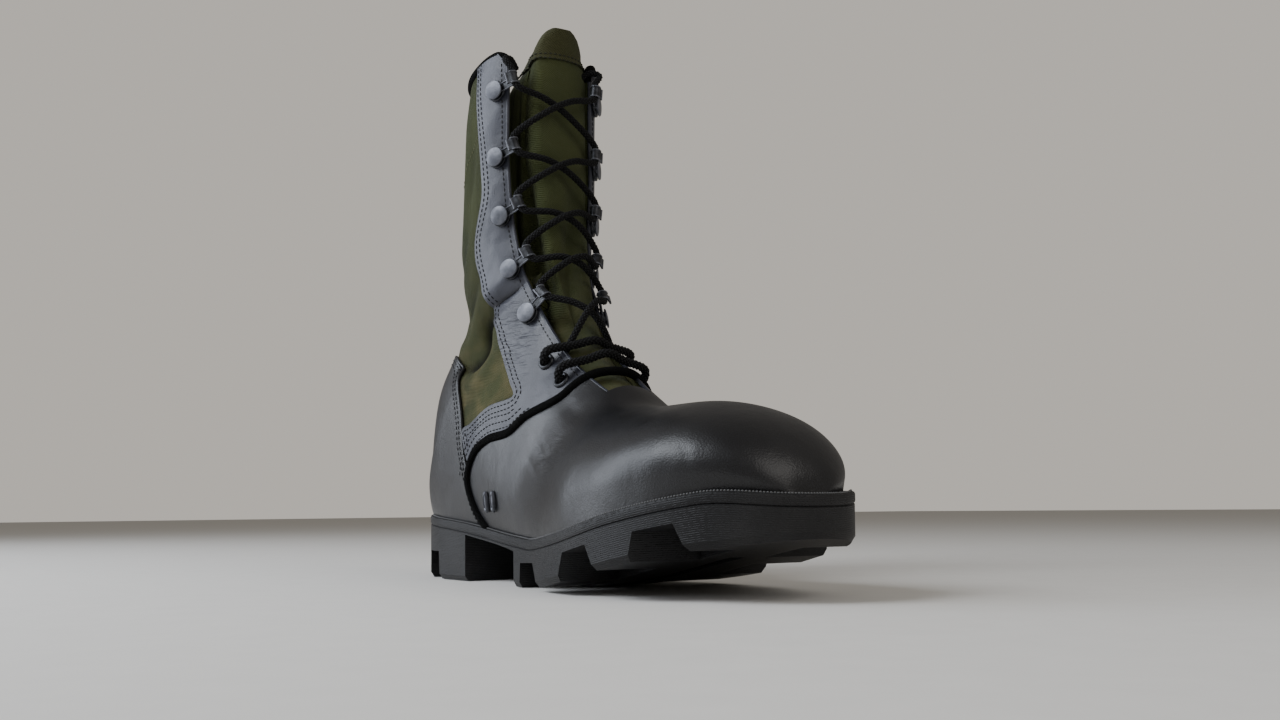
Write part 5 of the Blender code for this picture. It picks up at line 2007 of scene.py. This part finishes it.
    def build_seams(self, finishes: Finishes) -> None:
        """Lays the rows of stitches.

        Args:
            finishes: The materials.
        """
        size = self.form.size
        top = size.leather_top + 0.00005
        leather_rows: list[Route] = []
        cloth_rows: list[Route] = []
        for side in Side:
            for move in self.stay_rows:
                line = self.view.outline(EYESTAY_EDGE, move)
                leather_rows.append(self.view.route(side, line[8:-6], top))
            for move in self.wing_rows:
                line = self.view.outline(VAMP_EDGE, move)
                low, high = self.wing_heights
                wing = line[(line[:, 1] < high) & (line[:, 1] > low)]
                leather_rows.append(self.view.route(side, wing, top))
            for move in self.counter_rows:
                line = self.view.outline(COUNTER_EDGE, move)
                leather_rows.append(self.view.route(side, line[4:-6], top))
            leather_rows.append(self.throat.edge(side, self.throat_row, top, 0.05, 0.97))
            for step in self.tape_rows:
                line = smooth_line(np.array(self.tape) + (step, -step), self.tube_pitch)
                cloth_rows.append(self.view.route(side, line, 0.1 * MM))
        long_rows = [row for row in leather_rows if len(row) > 2]
        seams = RowTree(finishes.thread).lay("leather_seams", long_rows, LEATHER_STITCH)
        finish_piece(seams, finishes.thread)
        long_rows = [row for row in cloth_rows if len(row) > 2]
        seams = RowTree(finishes.olive_thread).lay("cloth_seams", long_rows, CLOTH_STITCH)
        finish_piece(seams, finishes.olive_thread)


def even(route: Sequence[Vector], pitch: float) -> Route:
    """A route through the same places with even, smooth spacing."""
    return [Vector(spot) for spot in smooth_line(np.array([tuple(spot) for spot in route]), pitch)]


@dataclass(frozen=True)
class Fold:
    """An upright fold in the tongue, with its place across and its reach in height."""

    across: float
    drift: float
    depth: float
    width: float
    start: float
    end: float


@dataclass
class Tongue:
    """The twill tongue behind the laces, with its stitched band."""

    form: BootForm
    throat: Throat
    wall: float = 0.0022
    band: float = 0.0007
    band_gap: float = 0.0004
    band_rows: int = 3
    rise: float = 0.0130
    lean: float = 0.0030
    reach: int = 19
    columns: int = 110
    drawn: float = 0.0040
    drawn_from: float = 0.50
    groove: float = 0.0085
    groove_from: float = 0.0110
    groove_run: float = 0.0055
    inner_from: float = 0.42
    inner_full: float = 0.56
    tapers: tuple[tuple[float, float], ...] = (
        (0.300, 1.00),
        (0.800, 1.00),
        (0.940, 0.98),
        (0.978, 0.88),
        (1.000, 0.68),
    )
    tips: tuple[tuple[float, float, float], ...] = (
        (0.20, 0.61, 0.93),
        (0.40, 0.58, 0.85),
        (0.60, 0.53, 0.78),
        (0.80, 0.46, 0.70),
        (0.92, 0.38, 0.62),
        (1.00, 0.28, 0.55),
    )
    folds: tuple[Fold, ...] = (
        Fold(-0.30, 0.25, 0.0036, 0.08, 0.42, 0.80),
        Fold(0.02, 0.30, 0.0048, 0.09, 0.38, 0.78),
        Fold(0.42, -0.20, 0.0036, 0.09, 0.50, 0.98),
        Fold(-0.12, -0.15, -0.0026, 0.12, 0.58, 0.96),
        Fold(0.22, 0.10, -0.0026, 0.10, 0.40, 0.74),
        Fold(-0.55, 0.10, 0.0030, 0.10, 0.45, 0.90),
    )

    def sheet(self) -> Points:
        """The tongue's outer face as a grid of points.

        Returns:
            The grid, from the lowest row up.
        """
        lattice, size = self.form.lattice, self.form.size
        start = lattice.first_open - self.form.sections_per_row
        last_column = lattice.side_columns + lattice.throat_columns + self.reach
        columns = slice(lattice.side_columns - self.reach, last_column + 1)
        grid = lattice.points[start:, columns] - (size.wall + size.gap) * lattice.normals[start:, columns]
        heights = grid[:, grid.shape[1] // 2, 2] / size.boot_height
        shares, widths = zip(*self.tapers)
        narrow = smooth_values(shares, widths, heights)
        grid[:, :, 0] *= narrow[:, None]
        apart = np.clip((heights - self.inner_from) / (self.inner_full - self.inner_from), 0.0, 1.0)
        edge = lattice.points[start:, lattice.side_columns, 0][:, None]
        inside = np.clip((edge + self.groove_from - grid[:, :, 0]) / self.groove_run, 0.0, 1.0)
        inside = inside * inside * (3.0 - 2.0 * inside) * apart[:, None]
        grid -= (self.groove * inside)[:, :, None] * lattice.normals[start:, columns]
        drawn = np.clip((heights - self.drawn_from) / (1.0 - self.drawn_from), 0.0, 1.0)
        grid[:, :, 0] += self.drawn * (drawn**0.8)[:, None]
        last = grid[-1]
        front = last[:, 1].min()
        raised = []
        for rise, width, bow in self.tips:
            ring = last.copy()
            ring[:, 0] = self.drawn + (last[:, 0] - self.drawn) * width / narrow[-1]
            ring[:, 1] = front + (last[:, 1] - front) * bow - self.lean * rise
            ring[:, 2] = last[:, 2] + self.rise * rise
            raised.append(ring)
        grid = np.concatenate([grid, np.array(raised)])
        count = grid.shape[1]
        at = np.linspace(0, count - 1, self.columns)
        knots = np.arange(count, dtype=float)
        finer = []
        for row in grid:
            finer.append(np.column_stack([rounded_values(knots, row[:, axis], at) for axis in range(3)]))
        return np.stack(finer)

    def folded(self, grid: Points) -> Points:
        """The sheet with its upright folds pushed in, away from the upper's edges.

        Args:
            grid: The sheet's points, row by row.

        Returns:
            The grid with its folds.
        """
        normals = unit(np.cross(np.gradient(grid, axis=1), np.gradient(grid, axis=0)))
        across = np.linspace(-1.0, 1.0, grid.shape[1])[None, :]
        heights = (grid[:, grid.shape[1] // 2, 2] / self.form.size.boot_height)[:, None]
        depth = np.zeros(grid.shape[:2])
        for fold in self.folds:
            share = np.clip((heights - fold.start) / (fold.end - fold.start), 0.0, 1.0)
            place = fold.across + fold.drift * (share - 0.5)
            trough = np.exp(-(((across - place) / fold.width) ** 2))
            depth += fold.depth * np.sin(np.pi * share) ** 0.8 * trough
        free = np.clip((1.0 - np.abs(across)) / 0.35, 0.0, 1.0)
        return grid - (depth * free)[:, :, None] * normals

    def build(self, finishes: Finishes) -> None:
        """Makes the tongue, the band over its top and the band's stitches.

        Args:
            finishes: The materials.
        """
        flat = self.sheet()
        grid = self.folded(flat)
        tongue = Maker.piece("twill_tongue", *grid_faces(grid, all_cells(grid)))
        lay_map(tongue, flat, all_cells(flat))
        Maker.thicken(tongue, self.wall, outward=False)
        Maker.bake(tongue)
        Maker.smooth(tongue, 60.0)
        finish_piece(tongue, finishes.twill, ["tongue"])
        self.build_band(grid, finishes)

    def build_band(self, grid: Points, finishes: Finishes) -> None:
        """Makes the khaki band folded over the tongue's top.

        Args:
            grid: The sheet's points, row by row.
            finishes: The materials.
        """
        normals = unit(np.cross(np.gradient(grid, axis=1), np.gradient(grid, axis=0)))
        count = len(self.tips) + self.band_rows
        band = (grid + self.band_gap * normals)[-count:]
        made = Maker.piece("tongue_band", *grid_faces(band, all_cells(band)))
        lay_map(made, band, all_cells(band))
        Maker.thicken(made, self.band, outward=True)
        Maker.bake(made)
        Maker.smooth(made, 60.0)
        finish_piece(made, finishes.khaki)
        lifted = grid + (self.band_gap + self.band + 0.1 * MM) * normals
        stitched = [[Vector(spot) for spot in lifted[row][4:-4]] for row in (-count, 2 - count)]
        seams = RowTree(finishes.dark_thread).lay("tongue_seams", stitched, TONGUE_STITCH)
        finish_piece(seams, finishes.dark_thread)


@dataclass
class Fittings:
    """The speed hooks, the eyelets and the two vents."""

    form: BootForm
    view: SideView
    throat: Throat
    hook_setback: float = 0.0058
    plate_radius: float = 0.0054
    plate: float = 0.0011
    dome_radius: float = 0.0050
    dome: float = 0.0023
    neck_width: float = 0.0040
    lip_width: float = 0.0060
    longer: float = 0.0048
    tilt: float = 16.0
    arm_wall: float = 0.0008
    reach: float = 0.0104
    mouth: float = 0.0036
    lip: float = 0.00045
    edge: float = 0.0005
    eyelet_setback: float = 0.0095
    eyelet_radius: float = 0.0042
    eyelet_bore: float = 0.0023
    barrel: float = 0.0006
    barrel_depth: float = 0.0036
    rim: float = 0.0010
    vent_radius: float = 0.0036
    vent_pitch: float = 0.0080
    vent_rim: float = 0.0008
    vent_stretch: tuple[float, float] = (0.50, 1.45)
    vent_rise: float = 0.0017

    @property
    def seat(self) -> float:
        """How far the fittings stand above the upper's own surface."""
        return self.form.size.leather_top + self.form.size.gap

    def hook_frames(self, side: Side) -> list[Frame]:
        """The frames of one side's hooks, from the lowest up.

        Args:
            side: The boot's inner or outer side.

        Returns:
            One frame for each hook.
        """
        levels = [self.form.size.boot_height * height for height in HOOK_HEIGHTS]
        turn = math.radians(self.tilt)
        frames = []
        for level in levels:
            frame = self.throat.frame(level, side, self.hook_setback)
            upward = side.value * np.cross(frame.inward, frame.out)
            inward = math.cos(turn) * frame.inward + math.sin(turn) * upward
            frames.append(Frame(frame.spot, frame.out, inward))
        return frames

    def eyelet_frames(self, side: Side) -> list[Frame]:
        """The frames of one side's eyelets, from the lowest up."""
        levels = [self.form.size.boot_height * height for height in EYELET_HEIGHTS]
        return [self.throat.frame(level, side, self.eyelet_setback) for level in levels]

    def mouth_spot(self, frame: Frame) -> Points:
        """Where a lace lies in a hook's mouth."""
        reach = self.reach + self.longer - self.arm_wall - 0.5 * self.mouth
        return frame.at(reach, 0.0, self.seat + self.arm_wall + 0.5 * self.mouth)

    def hook_head(self) -> list[Piece]:
        """The flat-domed rivet head, modelled upright at the origin.

        Returns:
            The head's pieces.
        """
        top, radius = self.plate + self.dome, self.dome_radius
        dome = [(0.0, top), (0.45 * radius, top - 0.08 * MM), (0.78 * radius, top - 0.28 * MM)]
        for step in range(7):
            turn = 0.5 * math.pi * step / 6
            inset, drop = self.edge * (1 - math.sin(turn)), self.edge * (1 - math.cos(turn))
            dome.append((radius - inset, top - 0.4 * MM - drop))
        under = radius - 1.3 * MM
        dome += [(radius - 0.2 * MM, self.plate + 1.0 * MM), (under, self.plate + 0.9 * MM)]
        dome += [(under, self.plate - 0.1 * MM), (0.0, self.plate - 0.2 * MM)]
        return [Maker.turned("head", dome, 36)]

    def strip(self, name: str, profile: Pairs, half: float) -> Piece:
        """A closed strip with a side profile of (reach, height) points, and half its width.

        Args:
            name: The new object's name.
            profile: The side profile.
            half: Half the width.

        Returns:
            The new object.
        """
        made = Maker.prism(name, np.array(profile), (-half, half))
        made.data.transform(Matrix.Rotation(-0.5 * math.pi, 4, "Z"))
        return made

    def hook_body(self) -> tuple[list[Piece], list[Piece]]:
        """The dark plate, neck and wider curled lip, and apart from them their bright edges.

        Returns:
            The dark pieces and the bright ones.
        """
        edge, root = 0.2 * MM, 1.4 * MM
        plate = [
            (0.0, self.plate),
            (self.plate_radius - edge, self.plate),
            (self.plate_radius, self.plate - edge),
            (self.plate_radius, 0.0),
            (0.0, 0.0),
        ]
        wall, mouth = self.arm_wall, self.mouth
        curl = 0.5 * mouth + wall
        bend = self.reach + self.longer - curl
        outer = [(bend - root, 0.0), (bend, 0.0)]
        for step in range(1, 13):
            turn = math.pi * step / 12 - 0.5 * math.pi
            outer.append((bend + curl * math.cos(turn), curl + curl * math.sin(turn)))
        tip = bend - 0.5 * mouth
        back = []
        for step in range(13):
            turn = 0.5 * math.pi - math.pi * step / 12
            back.append((bend + (curl - wall) * math.cos(turn), curl + (curl - wall) * math.sin(turn)))
        top = wall + mouth
        profile = outer + [(tip, top + 1.9 * wall), (tip, top + 0.9 * wall)] + back + [(bend - root, wall)]
        half = 0.5 * self.neck_width
        neck = [(0.0, 0.0), (bend + edge, 0.0), (bend + edge, wall), (0.0, wall)]
        pieces = [
            Maker.turned("plate", plate, 36),
            self.strip("neck", neck, half),
            self.strip("curl", profile, 0.5 * self.lip_width),
        ]
        edges = []
        for side in (-half, half):
            raised = [Vector((x, side, wall)) for x in np.linspace(0.5 * self.plate_radius, bend, 6)]
            edges.append(Maker.tube("neck_edge", raised, self.lip, 8))
        reach = 0.5 * self.lip_width
        rolled = [Vector((tip, y, top + 1.5 * wall)) for y in np.linspace(-reach, reach, 5)]
        edges.append(Maker.tube("lip", rolled, 1.3 * self.lip, 10))
        for side in (-reach, reach):
            edges.append(Maker.tube("lip_edge", [Vector((x, side, z)) for x, z in outer[1:]], self.lip, 8))
        return pieces, edges

    def spread(self, name: str, pieces: Sequence[Piece], frames: Sequence[Frame]) -> Piece:
        """One object with the pieces set at every frame.

        Args:
            name: The new object's name.
            pieces: The pieces of one fitting, which are removed.
            frames: Where the fittings stand.

        Returns:
            The new object.
        """
        placed = []
        for frame in frames:
            for piece in pieces:
                copy = bpy.data.objects.new(name, piece.data.copy())
                bpy.context.scene.collection.objects.link(copy)
                copy.data.transform(frame.matrix(self.seat))
                placed.append(copy)
        remove(list(pieces))
        return Maker.join(name, placed)

    def build(self, finishes: Finishes) -> None:
        """Makes the hooks, eyelets and vents.

        Args:
            finishes: The materials.
        """
        for side in Side:
            label = side.name.lower()
            nodes = [f"hook_{label}_{number}" for number in range(1, len(HOOK_HEIGHTS) + 1)]
            frames = self.hook_frames(side)
            plain, bright = self.hook_body()
            rims = self.spread(f"hook_edges_{label}", bright, frames)
            Maker.smooth(rims, 50.0)
            finish_piece(rims, finishes.dome)
            body = self.spread(f"hooks_{label}", plain, frames)
            Maker.smooth(body, 40.0)
            finish_piece(body, finishes.arm, nodes)
            heads = self.spread(f"hook_heads_{label}", self.hook_head(), frames)
            Maker.smooth(heads, 50.0)
            finish_piece(heads, finishes.dome)
            ring = []
            middle = 0.5 * (self.eyelet_bore + self.eyelet_radius)
            half = 0.5 * (self.eyelet_radius - self.eyelet_bore)
            for step in range(9):
                turn = math.pi * step / 8
                ring.append((middle - half * math.cos(turn), self.rim * math.sin(turn)))
            inner, outer = self.eyelet_bore, self.eyelet_bore + self.barrel
            ring += [(outer, 0.0), (outer, -self.barrel_depth), (inner, -self.barrel_depth)]
            turned = [Maker.turned("eyelet", ring, 32)]
            eyelets = self.spread(f"eyelets_{label}", turned, self.eyelet_frames(side))
            Maker.smooth(eyelets, 45.0)
            names = [f"eyelet_{label}_{number}" for number in (1, 2)]
            finish_piece(eyelets, finishes.arm, names)
        self.build_vents(finishes)

    def build_vents(self, finishes: Finishes) -> None:
        """Makes the two screened vents low on the inner side.

        Args:
            finishes: The materials.
        """
        size = self.form.size
        frames = []
        for number in range(2):
            y = float(self.form.along_to_y(FIRST_VENT[0])) - number * self.vent_pitch
            z = size.boot_height * FIRST_VENT[1]
            spot = self.view.spot(Side.MEDIAL, y, z, 0.0)
            out = self.view.spot(Side.MEDIAL, y, z, 1.0) - spot
            frames.append(Frame.square(np.array(spot), np.array(out), np.array([0.0, -1.0, 0.0])))
        rim = []
        for step in range(9):
            turn = math.pi * step / 8
            place = self.vent_radius - self.vent_rim * (1 + math.cos(turn))
            rim.append((place, 0.9 * self.vent_rise * math.sin(turn)))
        dome = [(0.0, 0.8 * self.vent_rise)]
        for step in range(1, 6):
            turn = 0.5 * math.pi * step / 5
            place = 0.8 * self.vent_radius * math.sin(turn)
            dome.append((place, 0.8 * self.vent_rise * math.cos(turn) ** 0.7))
        dome.append((0.0, 0.0))
        pieces = [Maker.turned("rim", rim, 32), Maker.turned("screen", dome, 32)]
        for piece in pieces:
            piece.data.transform(Matrix.Diagonal((*self.vent_stretch, 1.0, 1.0)))
        vents = self.spread("vents", pieces, frames)
        Maker.smooth(vents, 50.0)
        finish_piece(vents, finishes.dome, ["vent_1", "vent_2"])


@dataclass
class Laces:
    """The braided laces: bars over the eyelets, and crossings up the hooks."""

    form: BootForm
    throat: Throat
    fittings: Fittings
    bar_radius: float = 0.0018
    radius: float = 0.00145
    arch: float = 0.0080
    bow: float = 0.0042
    sides: int = 24
    plait_rise: float = 0.42
    pitch: float = 0.0006
    turn_height: float = 0.0046
    turn_reach: float = 0.0012
    hidden_end: tuple[tuple[float, float, float], ...] = (
        (0.0120, 0.0062, 0.011),
        (0.0120, 0.0010, 0.013),
        (0.0105, -0.0050, 0.010),
    )

    def hole(self, frame: Frame, lift: float, reach: float = 0.0) -> Points:
        """A place over or in an eyelet."""
        return frame.at(reach, 0.0, self.fittings.seat + lift)

    def bar(self, number: int) -> Route:
        """A bar from one eyelet over the throat to the other, its ends down in the holes.

        Args:
            number: Which pair of eyelets it joins, from the lowest.

        Returns:
            The cord's route.
        """
        left = self.fittings.eyelet_frames(Side.MEDIAL)[number]
        right = self.fittings.eyelet_frames(Side.LATERAL)[number]
        ends = []
        for frame in (left, right):
            ends.append([
                self.hole(frame, -6.0 * MM),
                self.hole(frame, -1.0 * MM),
                self.hole(frame, 2.8 * MM, 0.6 * MM),
                self.hole(frame, 5.0 * MM, 4.5 * MM),
            ])
        high_left, high_right = ends[0][-1], ends[1][-1]
        middle = 0.5 * (high_left + high_right)
        out = unit(left.out + right.out)
        quarter_left = 0.72 * high_left + 0.28 * high_right + 0.55 * self.arch * out
        quarter_right = 0.28 * high_left + 0.72 * high_right + 0.55 * self.arch * out
        path = [*ends[0], quarter_left, middle + self.arch * out, quarter_right, *ends[1][::-1]]
        return even([Vector(spot) for spot in path], self.pitch)

    def crossing_spot(self, start: Points, end: Points, share: float, lift: float) -> Points:
        """A place on the way between two ends, raised off the throat and bowed upwards.

        Args:
            start: One end.
            end: The other end.
            share: How far along, as a share.
            lift: How far off the surface, in metres.

        Returns:
            The place.
        """
        spot = (1 - share) * start + share * end
        row = self.throat.row_at(float(spot[2]), Side.MEDIAL, 0.0)
        middle, out = self.throat.place(row, 0.0)
        height = float(np.dot(spot - middle, out))
        return spot + (lift - height) * out + np.array([0.0, 0.0, self.bow])

    def strand(self, first: Side) -> Route:
        """One lace from under the eyestay, through the hooks, to behind its top hook.

        Args:
            first: The side it starts on.

        Returns:
            The cord's route.
        """
        hooks = {side: self.fittings.hook_frames(side) for side in Side}
        start = self.fittings.eyelet_frames(first)[1]
        path = [start.at(6.0 * MM, 0.0, -4.0 * MM), start.at(10.5 * MM, 0.0, -1.2 * MM)]
        side = first
        low = self.form.size.leather_top + self.radius
        for number in range(len(HOOK_HEIGHTS)):
            side = Side.LATERAL if side is Side.MEDIAL else Side.MEDIAL
            frame = hooks[side][number]
            mouth = self.fittings.mouth_spot(frame)
            upward = side.value * np.cross(frame.inward, frame.out)
            below = mouth - self.turn_height * upward + self.turn_reach * frame.inward
            above = mouth + self.turn_height * upward + self.turn_reach * frame.inward
            over = (number % 2 == 0) == (first is Side.MEDIAL)
            lift = low + (2.6 if over else 0.2) * self.radius
            path += [self.crossing_spot(path[-1], below, share, lift) for share in (0.35, 0.65)]
            path += [below, mouth, above]
        last = hooks[side][-1]
        upward = side.value * np.cross(last.inward, last.out)
        path += [last.at(reach, 0.0, lift) + up * upward for reach, lift, up in self.hidden_end]
        return even([Vector(spot) for spot in path], self.pitch)

    def plaited(self, name: str, route: Route, radius: float) -> Piece:
        """A cord along a route, its surface raised into plaits.

        Args:
            name: The new object's name.
            route: The cord's route.
            radius: The cord's radius.

        Returns:
            The new object.
        """
        sides = self.sides
        cord = Maker.tube(name, route, radius, sides)
        spots = np.array([tuple(spot) for spot in route])
        run = np.concatenate([[0.0], np.cumsum(np.linalg.norm(np.diff(spots, axis=0), axis=1))])
        finish = CordFinish()
        turn = 2 * np.pi * np.arange(sides)[None, :] / sides * finish.strands
        along = (run * 2 * np.pi / finish.plait * finish.strands / 2)[:, None]
        raised = np.abs(np.sin(along + turn)) * np.abs(np.sin(along - turn))
        shares = 1.0 + self.plait_rise * (raised - 0.35)
        points = np.empty(len(cord.data.vertices) * 3, np.float32)
        cord.data.vertices.foreach_get("co", points)
        points = points.reshape(len(route), sides, 3)
        points = spots[:, None, :] + (points - spots[:, None, :]) * shares[:, :, None]
        cord.data.vertices.foreach_set("co", points.astype(np.float32).ravel())
        cord.data.update()
        return cord

    def build(self, finishes: Finishes) -> None:
        """Makes the two bars and the two strands.

        Args:
            finishes: The materials.
        """
        crossings = [f"lace_crossing_{number}" for number in range(1, len(HOOK_HEIGHTS) + 1)]
        for label, route, radius, nodes in (
            ("lace_bar_lower", self.bar(0), self.bar_radius, ["lace_bar"]),
            ("lace_bar_upper", self.bar(1), self.bar_radius, []),
            ("lace_strand_medial", self.strand(Side.MEDIAL), self.radius, crossings),
            ("lace_strand_lateral", self.strand(Side.LATERAL), self.radius, crossings),
        ):
            length = sum((ahead - spot).length for spot, ahead in zip(route, route[1:]))
            log.info("%s: %.0f mm long", label, 1000 * length)
            cord = self.plaited(label, route, radius)
            Maker.smooth(cord, 75.0)
            finish_piece(cord, finishes.lace, nodes)


@dataclass
class Studio:
    """The floor, the soft lights and the camera."""

    place: tuple[float, float, float] = (-0.3029, -0.5044, 0.0347)
    yaw: float = 32.58
    pitch: float = 6.70
    roll: float = -0.56
    focal: float = 1265.0
    image_width: float = 1280.0
    sensor: float = 36.0
    ambient: float = 0.40
    backdrop: float = 0.92
    floor_reach: float = 6.0
    floor_level: float = -0.0002

    def camera(self) -> None:
        """Sets the camera at the photograph's angle."""
        yaw, pitch, roll = (math.radians(turn) for turn in (self.yaw, self.pitch, self.roll))
        ahead = Vector((math.sin(yaw) * math.cos(pitch), math.cos(yaw) * math.cos(pitch), math.sin(pitch)))
        right = Vector((math.cos(yaw), -math.sin(yaw), 0.0))
        up = right.cross(ahead)
        turned_right = right * math.cos(roll) + up * math.sin(roll)
        turned_up = up * math.cos(roll) - right * math.sin(roll)
        lens = bpy.data.cameras.new("camera")
        lens.sensor_width = self.sensor
        lens.lens = self.sensor * self.focal / self.image_width
        lens.clip_start = 0.01
        made = bpy.data.objects.new("camera", lens)
        bpy.context.scene.collection.objects.link(made)
        columns = (turned_right, turned_up, -ahead, Vector(self.place))
        rows = [[column[i] for column in columns] for i in range(3)]
        made.matrix_world = Matrix(rows + [[0.0, 0.0, 0.0, 1.0]])
        bpy.context.scene.camera = made

    def light(
        self, name: str, place: Spot, target: Spot, size: float, power: float, colour: Colour
    ) -> None:
        """Adds one soft square light.

        Args:
            name: The lamp's name.
            place: Where it stands.
            target: Where it looks.
            size: The length of its side.
            power: Its power in watts.
            colour: Its colour.
        """
        lamp = bpy.data.lights.new(name, "AREA")
        lamp.size = size
        lamp.energy = power
        lamp.color = colour
        made = bpy.data.objects.new(name, lamp)
        made.location = place
        made.rotation_euler = (Vector(target) - Vector(place)).to_track_quat("-Z", "Y").to_euler()
        bpy.context.scene.collection.objects.link(made)

    def build(self) -> None:
        """Makes the floor, world, lights and camera."""
        reach, level = self.floor_reach, self.floor_level
        corners = ((-reach, -reach), (reach, -reach), (reach, reach), (-reach, reach))
        points = [(x, y, level) for x, y in corners]
        floor = Maker.piece("floor", np.array(points), [(0, 1, 2, 3)])
        floor.data.materials.append(PlainFinish("pale_floor", (0.80, 0.78, 0.745)).material())
        world = bpy.data.worlds.new("room")
        world.use_nodes = True
        shade = world.node_tree.nodes["Background"]
        shade.inputs[0].default_value = (0.60, 0.565, 0.515, 1.0)
        nodes, links = world.node_tree.nodes, world.node_tree.links
        rays = nodes.new("ShaderNodeLightPath")
        strength = nodes.new("ShaderNodeMapRange")
        strength.inputs["To Min"].default_value = self.ambient
        strength.inputs["To Max"].default_value = self.backdrop
        links.new(rays.outputs["Is Camera Ray"], strength.inputs["Value"])
        links.new(strength.outputs[0], shade.inputs[1])
        bpy.context.scene.world = world
        self.light("window", (-0.85, 0.12, 0.88), (0.0, -0.02, 0.10), 0.55, 9.5, (0.88, 0.93, 1.0))
        self.light("window_behind", (-0.95, 0.80, 0.45), (0.0, 0.05, 0.15), 0.9, 12.0, (0.84, 0.90, 1.0))
        self.light("fill", (0.25, -1.1, 0.75), (0.0, 0.0, 0.16), 0.8, 4.5, (1.0, 0.97, 0.93))
        self.camera()


def build_boot() -> None:
    """Builds the boot's pieces, in order."""
    sole_low, sole_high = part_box("outsole")
    _, upper_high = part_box("upper")
    size = BootSizes(
        sole_length=sole_high.y - sole_low.y,
        ball_width=sole_high.x - sole_low.x,
        boot_height=upper_high.z,
    )
    log.info("sole %.4f x %.4f, shaft %.4f", size.sole_length, size.ball_width, size.boot_height)
    form = BootForm(size)
    view = SideView.of(form)
    throat = Throat(form)
    finishes = Finishes()
    fittings = Fittings(form, view, throat)
    Sole(form).build(finishes)
    Upper(form, view, throat).build(finishes)
    Tongue(form, throat).build(finishes)
    fittings.build(finishes)
    Laces(form, throat, fittings).build(finishes)


def main() -> None:
    """Builds the boot and the studio."""
    build_boot()
    Studio().build()


if __name__ == "__main__":
    logging.basicConfig(level=logging.INFO, format="%(message)s")
    main()
